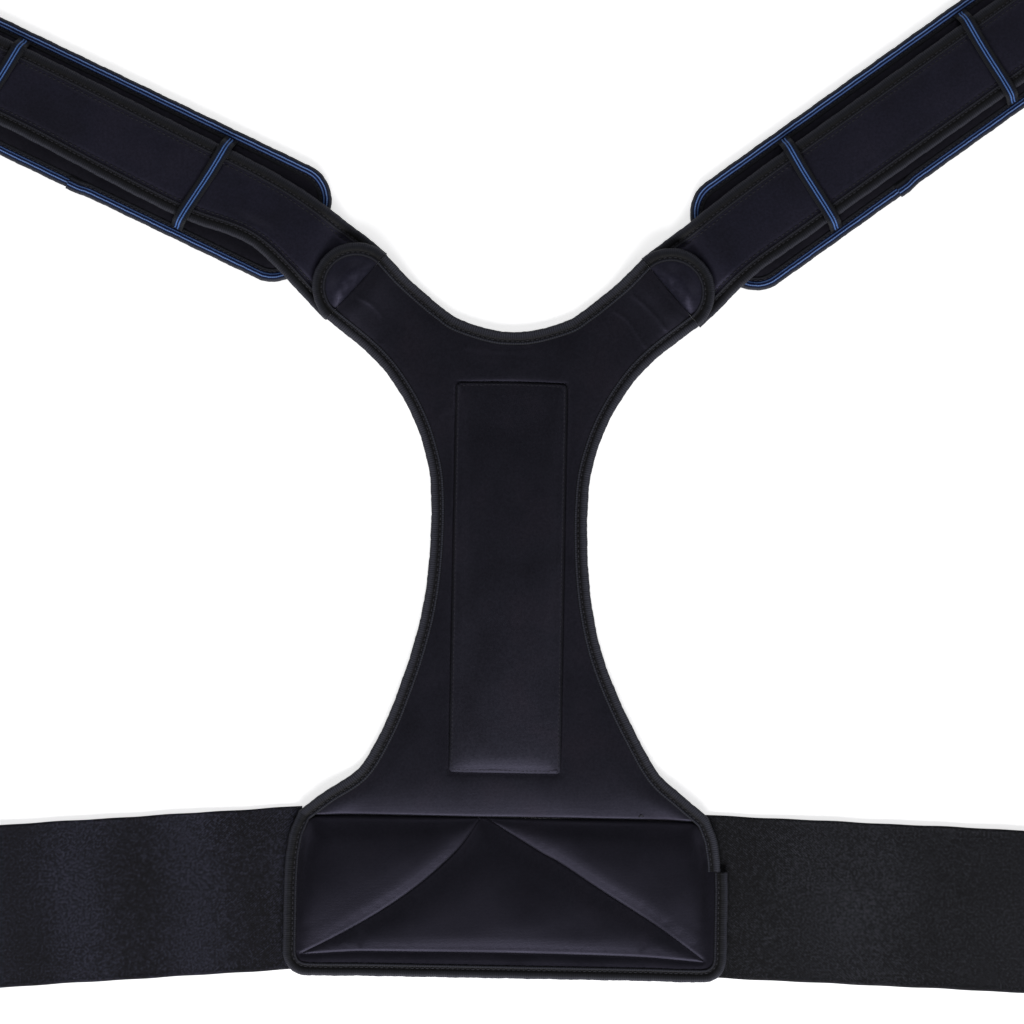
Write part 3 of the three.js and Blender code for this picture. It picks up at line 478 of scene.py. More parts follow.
def curve(knots, step=1.25):
    k = np.asarray(knots, float)
    last = len(k) - 1
    t = np.linspace(0, 1, 24, endpoint=False)[:, None]
    spans = []
    for i in range(last):
        a, b = k[i], k[i + 1]
        go, come = (b - k[max(i - 1, 0)]) / 2, (k[min(i + 2, last)] - a) / 2
        spans.append((2 * a - 2 * b + go + come) * t**3 + (3 * b - 3 * a - 2 * go - come) * t**2
                     + go * t + a)
    return respace(np.vstack([*spans, k[-1:]]), step)


def soften(points, reach, step=1.25):
    """Rounds the corners of an open line over about reach millimetres; its ends stay."""
    p = respace(np.asarray(points, float), step)
    width = int(3 * reach / step)
    weight = np.exp(-0.5 * (np.arange(-width, width + 1) * step / reach) ** 2)
    weight /= weight.sum()
    padded = np.vstack([2 * p[0] - p[width:0:-1], p, 2 * p[-1] - p[-2:-width - 2:-1]])
    return np.column_stack([np.convolve(c, weight, "valid") for c in padded.T])


def left_of(line):
    t = np.gradient(line, axis=0)
    t /= np.linalg.norm(t, axis=1)[:, None]
    return np.column_stack([-t[:, 1], t[:, 0]])


def run_of(line):
    return np.concatenate([[0], np.cumsum(np.linalg.norm(np.diff(line, axis=0), axis=1))])


def distance_to(points, *lines):
    """Shortest distance in plan from each point to any of the lines."""
    best = np.full(len(points), np.inf)
    for line in lines:
        a, d = line[:-1], np.diff(line, axis=0)
        size = np.maximum((d * d).sum(1), 1e-12)
        for first in range(0, len(points), 3000):
            p = points[first:first + 3000, None, :]
            t = np.clip(((p - a) * d).sum(-1) / size, 0, 1)
            gap = np.linalg.norm(p - a - t[..., None] * d, axis=-1).min(1)
            best[first:first + 3000] = np.minimum(best[first:first + 3000], gap)
    return best


print("a curve of three knots", len(curve([(0, 0), (10, 5), (20, 0)])), "points")

# %% [markdown]
# ## Outlines of the panel and the lumbar pad
#
# The outer edge of each tape, from tables of shares as in the CAD model: fall, spread and sway
# below the waist, rise and spread above it, out and rise for the neckline.

# %% Outer edges
BELOW_WAIST = [(1, 1, 0), (0.93, 0.8, 0.2), (0.849, 0.565, 1), (0.709, 0.38, 0.9),
               (0.57, 0.241, 0.35), (0.431, 0.13, 0), (0.292, 0.056, 0), (0.153, 0.016, 0),
               (0, 0, 0)]
ABOVE_WAIST = [(0.179, 0.009), (0.278, 0.032), (0.377, 0.08), (0.476, 0.144), (0.575, 0.233),
               (0.674, 0.346), (0.773, 0.49), (0.869, 0.681), (1, 1)]
NECKLINE = [(0, 0), (0.175, 0.028), (0.425, 0.161), (0.543, 0.293), (0.644, 0.425),
            (0.825, 0.69), (0.903, 0.822), (1, 1)]
LUMBAR_EDGE = [(0.1, 0.62), (0.24, 0.9), (0.42, 1), (0.66, 1)]

arm_dir, arm_across = unit(ARM_ANGLE, 1)
tab_centre = np.array([TAB_X, TAB_Y])
lower_joint = tab_centre - arm_dir * GAP / 2 - arm_across * TAB_RADIUS
upper_joint = tab_centre - arm_dir * GAP / 2 + arm_across * TAB_RADIUS


def side_edge(sign):
    knots = [(WAIST_HALF + spread * (HIP_HALF - WAIST_HALF) + sign * sway * HIP_SWAY,
              WAIST_HEIGHT - fall * (WAIST_HEIGHT + HIP_DROP))
             for fall, spread, sway in BELOW_WAIST]
    knots += [(WAIST_HALF + spread * (lower_joint[0] - WAIST_HALF),
               WAIST_HEIGHT + rise * (lower_joint[1] - WAIST_HEIGHT))
              for rise, spread in ABOVE_WAIST]
    return curve(knots) * np.array([sign, 1])


def lumbar_edge(sign, step):
    """From the hip corner down to the bottom edge's middle."""
    wider = LUMBAR_HALF - HIP_HALF
    line = [(HIP_HALF, -HIP_DROP)]
    line += [(HIP_HALF + out * wider + (step if down > 0.3 else 0), SEAM_Y - down * LUMBAR_HEIGHT)
             for down, out in LUMBAR_EDGE]
    centre = np.array([LUMBAR_HALF + step - LUMBAR_CORNER, SEAM_Y - LUMBAR_HEIGHT + LUMBAR_CORNER])
    turns = np.linspace(0, math.pi / 2, 8)
    line += [tuple(centre + LUMBAR_CORNER * np.array([math.cos(a), -math.sin(a)])) for a in turns]
    line.append((0, SEAM_Y - LUMBAR_HEIGHT))
    return np.array(line) * np.array([sign, 1])


side_edges = {"left": side_edge(-1), "right": side_edge(1)}
neck_knots = [(out * upper_joint[0], NECK_HEIGHT + rise * (upper_joint[1] - NECK_HEIGHT))
              for out, rise in NECKLINE]
neck_edge = curve([(-x, y) for x, y in reversed(neck_knots[1:])] + neck_knots)
print("side", round(run_of(side_edges["right"])[-1]), "mm, neckline",
      round(run_of(neck_edge)[-1]), "mm")

# %% [markdown]
# ## Making a mesh
#
# Every piece is made in millimetres and turned to metres in one place. Sharp edges, such as a cut
# end, stay sharp by angle, and the rest is shaded smooth.

# %% From points and faces to a piece
made = []


def make_piece(name, points, faces, finish, marks=None, replaces=(), sharp=55):
    """A piece from points in millimetres; marks are per-point measures that its finish reads."""
    mesh = bpy.data.meshes.new(name)
    mesh.from_pydata((np.asarray(points, float) * MM).tolist(), [],
                     [list(map(int, f)) for f in faces])
    for label, values in (marks or {}).items():
        layer = mesh.attributes.new(label, "FLOAT", "POINT")
        layer.data.foreach_set("value", np.asarray(values, np.float32))
    mesh.polygons.foreach_set("use_smooth", [True] * len(mesh.polygons))
    mesh.set_sharp_from_angle(angle=math.radians(sharp))
    mesh.materials.append(finish)
    mesh.update()
    piece = bpy.data.objects.new(name, mesh)
    bpy.context.scene.collection.objects.link(piece)
    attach(piece, "root")
    if replaces:
        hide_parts(*replaces)
    made.append(piece)
    print(name, len(mesh.polygons), "faces")
    return piece


# %% [markdown]
# ## Folded tapes
#
# A binding tape is folded lengthwise over the raw edge and sewn through. It could be a flat ribbon
# with thickness, but its real section matters: it rolls over the edge, dips at the stitch line and
# ends in a thin raised lip. So a closed C-shaped section is swept along the edge, mitred or cut at
# its ends, and each point carries its measures for the ribs and stripes.

# %% Section and sweep of a tape
# In from the outer edge, and up from the surface: under the edge, round it, over the top, and back
# along the inside of the fold.
FOLD = [(8, 0.06), (6, 0.03), (3, 0), (1.3, 0.06), (0.5, 0.45), (0.1, 1.15), (0, 2), (0.1, 2.8),
        (0.5, 3.45), (1.2, 3.88), (2.2, 4.08), (3.3, 4.08), (4.3, 3.9), (4.9, 3.58), (5.3, 3.32),
        (6.0, 3.32), (6.5, 3.6), (7.0, 3.86), (7.6, 3.8), (8, 3.5), (7.9, 3.2), (6, 3.06),
        (2.4, 3.14), (1.1, 2.75), (0.8, 2), (1.1, 1.15), (2.4, 0.8), (8, 0.76)]
WOBBLE_WAVES = [(9.1, 0.06), (5.3, 0.05), (3.7, 0.05), (23.0, 0.1)]
PUCKER_WAVES = (3.3, 4.9, 8.3)
TURN = 2 * math.pi


def tube_faces(stations, ring, turned):
    """Faces of a closed tube of rings, with a cap at each end."""
    faces = []
    for i in range(stations - 1):
        for k in range(ring):
            m = (k + 1) % ring
            faces.append((i * ring + k, i * ring + m, (i + 1) * ring + m, (i + 1) * ring + k))
    faces.append(tuple(reversed(range(ring))))
    faces.append(tuple(range((stations - 1) * ring, stations * ring)))
    return [f[::-1] for f in faces] if turned else faces


def sweep_tape(name, line, side, lift, finish, node, start_cut=None, end_cut=None,
               width=TAPE_WIDTH, seed=0, extra=None):
    """Sweeps the fold along the outer edge; side is 1 where the cloth is on the line's left.

    A cut is the direction in which an end is cut off; extra may move the points once more.
    """
    inward = left_of(line) * side
    for index, cut in ((0, start_cut), (-1, end_cut)):
        if cut is not None:
            cut = np.asarray(cut, float)
            inward[index] = cut / (cut @ inward[index])
    if start_cut is not None or end_cut is not None:
        ease_cuts(line, inward, start_cut is not None, end_cut is not None)
    run = run_of(line)
    rng = np.random.default_rng(seed)
    wobble = sum(size * np.sin(TURN * run / length + rng.uniform(0, 6.28))
                 for length, size in WOBBLE_WAVES)
    pucker = sum(0.05 * np.sin(TURN * run / length + rng.uniform(0, 6.28))
                 for length in PUCKER_WAVES)
    scale = width / TAPE_WIDTH
    rings, along, across = [], [], []
    for u, z in FOLD:
        outer = max(0.0, 1 - u / 5)         # only the outer roll wanders
        place = line + inward * (u * scale + wobble * outer)[:, None]
        up = z + lift(place) + (pucker if z > 3 else 0) * (1 if u > 1 else 0.3)
        if extra is not None:
            place, up = extra(place, up, run)
        rings.append(np.column_stack([place, up]))
        along.append(run)
        across.append(np.full(len(run), u * scale))
    points = np.stack(rings, axis=1).reshape(-1, 3)
    faces = tube_faces(len(line), len(FOLD), side < 0)
    marks = {"along": np.stack(along, 1).ravel(), "across": np.stack(across, 1).ravel()}
    return make_piece(name, points, faces, finish, marks, node)


def ease_cuts(line, inward, at_start, at_end, reach=9):
    """Turns the stations near a slanted end gently, so that they don't cross."""
    square = left_of(line)
    square *= np.sign((square * inward).sum(1))[:, None]
    for wanted, index, order in ((at_start, 0, 1), (at_end, len(line) - 1, -1)):
        if not wanted:
            continue
        target = inward[index].copy()
        for k in range(reach):
            share = (1 - k / reach) ** 2
            here = index + order * k
            inward[here] = square[here] * (1 - share) + target * share


print("section of", len(FOLD), "points")

# %% [markdown]
# ## Stitches
#
# A lockstitch shows as short raised dashes with a dip between them. Each stitch is a small rounded
# bar, pressed half into the cloth, and all stitches of a seam are one piece.

# %% Rows of stitches
STITCH_PITCH, STITCH_LENGTH, STITCH_RADIUS = 3.1, 2.3, 0.34


def sew(name, line, height, pitch=STITCH_PITCH, radius=STITCH_RADIUS, seed=1):
    """Lays stitches along a line in plan; height gives the cloth's height below each stitch."""
    fine = respace(line, pitch)
    middle = (fine[1:] + fine[:-1]) / 2
    go = np.diff(fine, axis=0)
    go /= np.linalg.norm(go, axis=1)[:, None]
    rng = np.random.default_rng(seed)
    middle = middle + np.column_stack([-go[:, 1], go[:, 0]]) * rng.normal(0, 0.09, (len(go), 1))
    half = STITCH_LENGTH / 2 * pitch / STITCH_PITCH
    rings = [(-half, 0.35), (-half * 0.72, 1), (half * 0.72, 1), (half, 0.35)]
    sides = 6
    points, faces = [], []
    for (x, y), (dx, dy) in zip(middle, go):
        base = len(points)
        ends = height(np.array([[x - dx * half, y - dy * half],
                                [x + dx * half, y + dy * half]]))
        for s, size in rings:
            z = ends[0] + (ends[1] - ends[0]) * (s + half) / (2 * half) - (1 - size) * 0.3
            for k in range(sides):
                a = 2 * math.pi * k / sides
                aside, up = radius * size * math.cos(a), radius * size * 0.9 * math.sin(a)
                points.append((x + dx * s - dy * aside, y + dy * s + dx * aside, z + up))
        for r in range(len(rings) - 1):
            for k in range(sides):
                m = (k + 1) % sides
                a, b = base + r * sides, base + (r + 1) * sides
                faces.append((a + k, b + k, b + m, a + m))
        faces.append(tuple(base + k for k in range(sides)))
        faces.append(tuple(base + (len(rings) - 1) * sides + k for k in reversed(range(sides))))
    return make_piece(name, points, faces, thread)


def beside(line, side, inset, trim=0.0):
    """The line moved sideways, and shortened by trim at both ends."""
    moved = line + left_of(line) * side * inset
    run = run_of(moved)
    return moved[(run >= trim) & (run <= run[-1] - trim)]


GROOVE_U, GROOVE_Z = 5.65, 3.4      # in from the tape's edge and up, in its stitch groove
print("stitches per 100 mm", round(100 / STITCH_PITCH))

# %% [markdown]
# ## Cutting cloth in plan
#
# A grid alone would cross the seams slantwise and make them jagged. So the cloth's mesh is a
# Delaunay triangulation whose points follow the outline and every seam in rows, closer together
# near a seam where the cloth rolls, with an even grid in between.

# %% Plan mesh with rows along its seams
ROWS = (0.45, 1.0, 1.7, 2.6, 3.8, 5.4)


def inside(points, outline):
    """Which points lie inside a closed outline."""
    x, y = points.T
    result = np.zeros(len(points), bool)
    for (ax, ay), (bx, by) in zip(outline, np.roll(outline, -1, axis=0)):
        if ay != by:
            result ^= ((ay > y) != (by > y)) & (x < (bx - ax) * (y - ay) / (by - ay) + ax)
    return result


def plan_mesh(outline, seams=(), grid=2.7, rows=ROWS, step=1.8):
    """Points in plan and their triangles, with the outline and the seams as edges."""
    ring = respace(np.vstack([outline, outline[:1]]), step)
    lines = [ring] + [respace(np.asarray(s, float), step) for s in seams]
    found = []
    for line in lines:
        middle = (line[1:] + line[:-1]) / 2
        normal = left_of(line)[1:]
        for row in rows:
            for side in (1, -1):
                near = middle + normal * row * side
                near = near[inside(near, ring[:-1])]
                found.append(near[distance_to(near, *lines) > 0.93 * row])
    low, high = ring.min(0), ring.max(0)
    gx, gy = np.meshgrid(np.arange(low[0], high[0], grid),
                         np.arange(low[1], high[1], grid * 0.87))
    gx[1::2] += grid / 2
    cells = np.column_stack([gx.ravel(), gy.ravel()])
    cells = cells[inside(cells, ring[:-1])]
    cells = cells[distance_to(cells, *lines) > rows[-1] + 0.55 * grid]
    points, edges = [], []
    for number, line in enumerate(lines):
        base = sum(len(p) for p in points)
        if number == 0:
            points.append(ring[:-1])
            count = len(ring) - 1
            edges += [(base + i, base + (i + 1) % count) for i in range(count)]
        else:
            points.append(line)
            edges += [(base + i, base + i + 1) for i in range(len(line) - 1)]
    cloud = np.vstack(points + found + [cells])
    result = delaunay_2d_cdt([Vector(p) for p in cloud.tolist()], edges, [], 1, 0.03)
    plan = np.array([tuple(v) for v in result[0]])
    return plan, np.array([f for f in result[2] if len(f) == 3])


def rim_of(triangles):
    """Edges that only one triangle uses, in that triangle's direction."""
    edges = np.vstack([triangles[:, [0, 1]], triangles[:, [1, 2]], triangles[:, [2, 0]]])
    keys = {(int(a), int(b)) for a, b in edges}
    return [(a, b) for a, b in keys if (b, a) not in keys]


def closed_cloth(plan, triangles, top, bottom):
    """Points and faces of a closed body between two heights over the same plan."""
    count = len(plan)
    points = np.vstack([np.column_stack([plan, top]), np.column_stack([plan, bottom])])
    faces = [tuple(t) for t in triangles] + [(a + count, c + count, b + count)
                                             for a, b, c in triangles]
    faces += [(b, a, a + count, b + count) for a, b in sorted(rim_of(triangles))]
    return points, faces


print("rows at", ROWS, "mm from a seam")

# %% [markdown]
# ## Filling the padding
#
# Padded cloth swells between its seams. The expected way is a cloth simulation: the top sheet is
# held at its seams, slightly too large, and pressed from below. The solver is made for garments
# that are metres large, so the sheet is simulated at twenty times its size and brought back. A soft
# limit keeps any point near its start, and the result is applied to the mesh, so no modifier is
# left.

# %% Swell a sheet with Blender's cloth solver
SIM_SCALE = 0.02        # metres in the simulation for a real millimetre
SIM_FRAMES = 20
EASED_MM = 9            # over which the swelling comes up beside a seam
CLOTH = {
    "quality": 6, "mass": 0.3, "tension_stiffness": 25, "compression_stiffness": 25,
    "shear_stiffness": 10, "bending_stiffness": 3, "tension_damping": 15,
    "compression_damping": 15, "air_damping": 2, "use_pressure": True,
}


def swell(points, triangles, held, pressure, cap, loosen, from_seam):
    """The sheet's points after the simulation, in millimetres; from_seam eases its edges."""
    scene = bpy.context.scene
    mesh = bpy.data.meshes.new("swelling_sheet")
    mesh.from_pydata((points * SIM_SCALE).tolist(), [], triangles.tolist())
    sheet = bpy.data.objects.new("swelling_sheet", mesh)
    scene.collection.objects.link(sheet)
    sheet.vertex_groups.new(name="held").add([int(i) for i in np.flatnonzero(held)], 1.0,
                                             "REPLACE")
    cloth = sheet.modifiers.new("swell", "CLOTH")
    for label, value in CLOTH.items():
        setattr(cloth.settings, label, value)
    cloth.settings.uniform_pressure_force = pressure
    cloth.settings.vertex_group_mass = "held"
    cloth.settings.shrink_min = -loosen
    cloth.settings.effector_weights.gravity = 0
    cloth.collision_settings.use_collision = False
    cloth.point_cache.frame_end = SIM_FRAMES
    for number in range(1, SIM_FRAMES + 1):
        scene.frame_set(number)
    found = sheet.evaluated_get(bpy.context.evaluated_depsgraph_get())
    after = np.empty(len(points) * 3, np.float32)
    found.data.vertices.foreach_get("co", after)
    after = after.reshape(-1, 3).astype(float) / SIM_SCALE
    bpy.data.objects.remove(sheet)
    scene.frame_set(1)
    move = after - points
    size = np.maximum(np.linalg.norm(move, axis=1), 1e-9)
    move *= (cap * np.tanh(size / cap) / size * smooth_share(from_seam, 0, EASED_MM))[:, None]
    print("  swelled by", round(float(np.abs(move[:, 2]).max()), 2), "mm at most,",
          round(float(move[:, 2].mean()), 2), "mm on average, before the cap",
          round(float(size.max()), 2))
    return points + move


def undulate(p, size, *waves):
    """Slow unevenness of a surface: each wave is a length in mm, an angle and a phase."""
    total = np.zeros(len(p))
    for length, angle, phase in waves:
        a = math.radians(angle)
        far = p[:, 0] * math.cos(a) + p[:, 1] * math.sin(a)
        total += np.sin(TURN * far / length + phase)
    return size * total / len(waves)


def rolled(d, reach):
    """From 0 at a seam towards 1 over about reach millimetres, steepest at the seam."""
    return 1 - np.exp(-np.maximum(d, 0) / reach)


print("simulation scale", SIM_SCALE, "m for each mm")

# %% [markdown]
# ## Outline of the back panel
#
# One piece of 4 mm neoprene. Its outline runs 1 mm inside the tapes' outer edges. The spine
# pocket's edge and the ends of the arms are seams that its mesh has to follow.

# %% Panel outline and seams
pocket_half, pocket_end = POCKET_WIDTH / 2, POCKET_LENGTH / 2
POCKET_ARCH = 1.2


def pocket_outline(step=1.8):
    """Round the pocket's edge, with slightly rounded corners and a faintly arched top."""
    r = 2.0
    line = []
    for cx, cy, start in ((1, -1, -90), (1, 1, 0), (-1, 1, 90), (-1, -1, 180)):
        for a in np.radians(np.linspace(start, start + 90, 4)):
            line.append((cx * (pocket_half - r) + r * math.cos(a),
                         cy * (pocket_end - r) + r * math.sin(a)))
    ring = respace(np.array(line + line[:1]), step)
    arch = POCKET_ARCH * (1 - (ring[:, 0] / pocket_half) ** 2) * (ring[:, 1] > 0)
    ring[:, 1] += arch * (ring[:, 1] > pocket_end - r)
    return ring


pocket_ring = pocket_outline()


def inner_line(edge, side, inset=EDGE_INSET):
    """The cloth's own edge, which lies inside the tape's outer edge."""
    return edge + left_of(edge) * side * inset


right_inner = inner_line(side_edges["right"], 1)
left_inner = inner_line(side_edges["left"], -1)
neck_inner = inner_line(neck_edge, -1)
right_inner[0, 1] = left_inner[0, 1] = SEAM_Y
panel_outline = np.vstack([right_inner, neck_inner[::-1], left_inner[::-1]])
arm_seams = [np.array([right_inner[-1], neck_inner[-1]]),
             np.array([left_inner[-1], neck_inner[0]])]
print("panel outline", len(panel_outline), "points")

# %% [markdown]
# ## Heights of the cloth
#
# Under the tapes the neoprene is squeezed to 2 mm, and next to them it comes up again. Above the
# lumbar seam it bulges into a soft roll, and round the spine pocket the stitches pull it down. A
# few shallow creases cross the arms, where the straps pull. The heights could be sculpted by hand,
# but a sum of small named effects can be measured and changed one at a time.

# %% Panel heights
EDGE_TOP = 3.0          # under a tape's fold
FOLD_END = (7.6, 9.6)   # where the cloth leaves the fold
HELD_EDGE = 8.2         # cloth nearer to an outer edge is held by its tape


def edge_rise(u, full, start=7.3, reach=2.2):
    """Height of cloth by its distance from a tape's outer edge: thin in the fold, then full."""
    lip = EDGE_TOP + 0.25 * smooth_share(u, start - 0.6, start + 0.7)
    return lip + (full - EDGE_TOP - 0.25) * rolled(u - start - 0.7, reach)


def edge_floor(u):
    """Height of the cloth's underside: raised in the fold, flat past it."""
    return 1.0 * (1 - smooth_share(u, *FOLD_END))


# Knots in plan, height and half width of each crease.
CREASES = [
    (((-112, 131), (-96, 139), (-78, 141.5)), 0.5, 1.3),
    (((-96, 170), (-86, 165), (-79, 157)), 0.35, 1.4),
    (((58, 166), (70, 158), (82, 141)), 0.45, 1.3),
    (((72, 174), (84, 164), (97, 148)), 0.4, 1.3),
    (((88, 178), (97, 168), (106, 158)), 0.3, 1.3),
    (((-30, 141), (-8, 139), (14, 140.5)), 0.3, 2.2),
    (((-46, 96), (-38, 103), (-24, 106)), 0.3, 2.6),
]
CREASE_LINES = [curve(knots) for knots, _, _ in CREASES]
ROLL_REACH = 28.0


def roll_height(above):
    """The roll above the lumbar seam, which dies away up the waist."""
    return 1.3 * np.exp(-(np.maximum(above - ROLL_REACH, 0) / 34) ** 2)


def waist_hill(p):
    """The same roll where it carries the pocket's lower end."""
    above = p[:, 1] - SEAM_Y
    return roll_height(above) * smooth_share(above, -5, 12)


def from_panel_edge(p):
    return distance_to(p, side_edges["left"], side_edges["right"], neck_edge)


print("roll above the seam", roll_height(ROLL_REACH), "mm")

# %% [markdown]
# ## Back panel
#
# The panel is cut flat, so it is meshed in plan and lifted by the heights, top and underside over
# the same triangles. A grid pressed onto the outline would give ragged edges beside the tapes.

# %% Back panel
def panel_top(p):
    u = from_panel_edge(p)
    z = edge_rise(u, 4.0)
    above = p[:, 1] - SEAM_Y
    inner = smooth_share(u, 5, 20)
    fall = np.clip(1 - above / ROLL_REACH, 0, 1) ** 2
    # The roll above the lumbar seam, and the seam's own groove.
    z = z + inner * (roll_height(above) - 3.4 * fall)
    z -= 1.3 * np.exp(-np.maximum(above, 0) / 0.4) * (u > 5)
    # The seams across the arms, with a low roll beside each.
    arm = distance_to(p, *arm_seams)
    z -= 1.0 * np.exp(-arm / 2.4) * smooth_share(u, 4, 9)
    z += 0.8 * np.exp(-((arm - 8) / 6.0) ** 2) * smooth_share(u, 8, 18)
    # The pocket's stitched edge, the creases, and some slow unevenness.
    z -= 1.2 * np.exp(-distance_to(p, pocket_ring) / 1.25)
    for line, (_, size, width) in zip(CREASE_LINES, CREASES):
        z += size * np.exp(-(distance_to(p, line) / width) ** 2) * smooth_share(u, 8, 12)
    z += undulate(p, 0.28, (88, 20, 0.4), (61, 100, 1.9), (47, 65, 3.1)) * smooth_share(u, 9, 25)
    return z + panel_lift(p)


plan, triangles = plan_mesh(panel_outline, [pocket_ring, *CREASE_LINES], grid=2.8)
points, faces = closed_cloth(plan, triangles, panel_top(plan),
                             edge_floor(from_panel_edge(plan)) + panel_lift(plan))
# Painted highlight: the panel's colour is lighter on the roll just above the lumbar seam.
painted_light = 0.9 * np.exp(-np.maximum(plan[:, 1] - SEAM_Y, 0) / 15.0)
panel = make_piece("back_panel_neoprene", points, faces, neoprene,
                   {"painted_light": np.tile(painted_light, 2)}, ["back_panel"])

# %% [markdown]
# ## Spine pocket
#
# A second layer of neoprene holds a flat stay along the spine. It is sewn on all round, so its edge
# is pulled down and its face stands up a little; at its lower end the stay pushes the cloth up,
# and it catches the light. The sheet is swelled by the cloth solver.

# %% Pocket
STAY_HALF, STAY_END = 27.0, 84      # half width of the stay, and where its lower end bends up


def pocket_top(p):
    side = np.minimum(pocket_half - np.abs(p[:, 0]), pocket_end + 1.0 - p[:, 1])
    foot = p[:, 1] + pocket_end
    # Up from the stitched edge: quickly at the sides and top, slowly at the foot.
    z = 3.2 + 2.1 * rolled(side, 0.9) * rolled(foot + 0.1, 8.5)
    # The stay's own height, which bends down towards the foot.
    stay = np.exp(-(p[:, 0] / STAY_HALF) ** 4)
    bend = 1 - np.clip(1 - foot / STAY_END, 0, 1) ** 2
    z += 3.1 * stay * bend * smooth_share(pocket_end - p[:, 1], 0, 150)
    return z + undulate(p, 0.12, (70, 80, 0.2), (43, 10, 2.0)) + waist_hill(p)


plan, triangles = plan_mesh(pocket_ring[:-1], [], grid=2.6)
top = np.column_stack([plan, pocket_top(plan)])
held = distance_to(plan, pocket_ring) < 0.2
top = swell(top, triangles, held, pressure=2.0, cap=0.6, loosen=0.004,
            from_seam=distance_to(plan, pocket_ring))
top[:, :2] = np.where(held[:, None], plan, top[:, :2])
points, faces = closed_cloth(plan, triangles, top[:, 2], 3.1 + waist_hill(plan))
points[:len(plan)] = top
foot = plan[:, 1] + pocket_end
# Painted light: the pocket's colour is lighter towards its foot, where the stay tilts it to the
# light.
painted_light = 0.5 * smooth_share(foot, 190, 20) + 1.5 * np.exp(-foot / 26.0)
pocket = make_piece("spine_pocket_neoprene", points, faces, neoprene,
                    {"painted_light": np.tile(painted_light, 2)}, ["spine_pocket"])
inner_ring = pocket_outline()
inner_ring *= np.array([1 - 1.5 / pocket_half, 1 - 1.5 / pocket_end])
sew("pocket_stitches", inner_ring, lambda p: pocket_top(p) - 0.12, pitch=2.6,
    radius=0.26, seed=3)

# %% [markdown]
# ## Lumbar pad
#
# Two layers with wadding between them, quilted by two slanting seams and one along the bottom.
# Each cell swells, and the light falls on the side of each roll that faces the viewer's feet. Four
# cells could be four meshes, but one sheet with its seams as rows keeps the cloth continuous.

# %% Quilting seams and outline
LEFT_DIAGONAL = [(-0.112, 0.012), (-0.201, 0.19), (-0.34, 0.375), (-0.504, 0.546), (-0.7, 0.71),
                 (-0.925, 0.868)]
RIGHT_DIAGONAL = [(-0.07, 0.012), (0.158, 0.2), (0.262, 0.276), (0.456, 0.444), (0.717, 0.662),
                  (0.94, 0.875)]
BOTTOM_SEAM = [(-0.925, 0.868), (-0.7, 0.848), (-0.45, 0.843), (0, 0.84), (0.45, 0.845),
               (0.72, 0.855), (0.94, 0.875)]


def quilt_seam(table):
    return curve([(out * LUMBAR_HALF, SEAM_Y - down * LUMBAR_HEIGHT) for out, down in table], 1.8)


left_quilt, right_quilt, hem_seam = map(quilt_seam, (LEFT_DIAGONAL, RIGHT_DIAGONAL, BOTTOM_SEAM))
right_outer = soften(lumbar_edge(1, 0), 2.4)
left_outer = soften(lumbar_edge(-1, 0), 2.4)
right_pad_edge = inner_line(right_outer, -1)
left_pad_edge = inner_line(left_outer, 1)
right_pad_edge = right_pad_edge[right_pad_edge[:, 1] < SEAM_Y - 0.2]
left_pad_edge = left_pad_edge[left_pad_edge[:, 1] < SEAM_Y - 0.2]
top_corners = np.array([[edge[0, 0], SEAM_Y - 0.05] for edge in (right_pad_edge, left_pad_edge)])
lumbar_outline = np.vstack([right_pad_edge, left_pad_edge[::-1], top_corners[::-1]])
pad_edges = [right_outer, left_outer]
print("quilting seams", [round(run_of(s)[-1]) for s in (left_quilt, right_quilt, hem_seam)], "mm")

# %% [markdown]
# ## Swelled sheet of the lumbar pad
#
# The wadding makes each cell rise slowly from the upper seams and fall steeply to the lower ones.
# The cloth solver alone would make every cell a symmetrical cushion, so the formula gives the form
# and the solver adds the last half millimetre of fullness between the seams.

# %% Lumbar pad sheet
PAD_CROWN = 5.4         # height of the middle of a cell over the seams
SEAM_DIP = 0.8


def domed(d, near_share, near_reach, far_reach):
    """From 0 at a seam to 1 far from it, quickly at first and then slowly."""
    d = np.maximum(d, 0)
    return 1 - near_share * np.exp(-d / near_reach) - (1 - near_share) * np.exp(-d / far_reach)


def lumbar_top(p):
    u = distance_to(p, *pad_edges)
    seams = distance_to(p, left_quilt, right_quilt, hem_seam)
    top_seam = SEAM_Y - p[:, 1]
    below_hem = p[:, 1] < np.interp(p[:, 0], hem_seam[:, 0], hem_seam[:, 1])
    room = smooth_share(u, 7.0, 11.5)
    edge = EDGE_TOP + 0.25 * smooth_share(u, 6.6, 8)
    slants = distance_to(p, left_quilt, right_quilt)
    hem = distance_to(p, hem_seam)
    # Each cell rises from its seams, steeply at first along the slants.
    crown = PAD_CROWN * domed(slants, 0.36, 8, 20) * rolled(hem, 30) * rolled(top_seam, 8)
    near = np.minimum(seams, top_seam)
    z = edge + room * (crown * rolled(u - 7.2, 3.5) - SEAM_DIP * np.exp(-near / 0.65))
    # The strip below the bottom seam has no wadding.
    flat = edge + 0.2 * smooth_share(u, 8, 11) * rolled(near, 1.5)
    z = np.where(below_hem, flat - SEAM_DIP * room * np.exp(-near / 0.8), z)
    # The pad comes out from under the panel's roll at the cross seam.
    z -= 1.9 * np.exp(-np.maximum(top_seam, 0) / 2.2) * smooth_share(u, 3, 9)
    z += undulate(p, 0.22, (52, 30, 0.8), (37, 120, 2.2)) * smooth_share(near, 5, 20) * room
    return z + hip_lift(p)


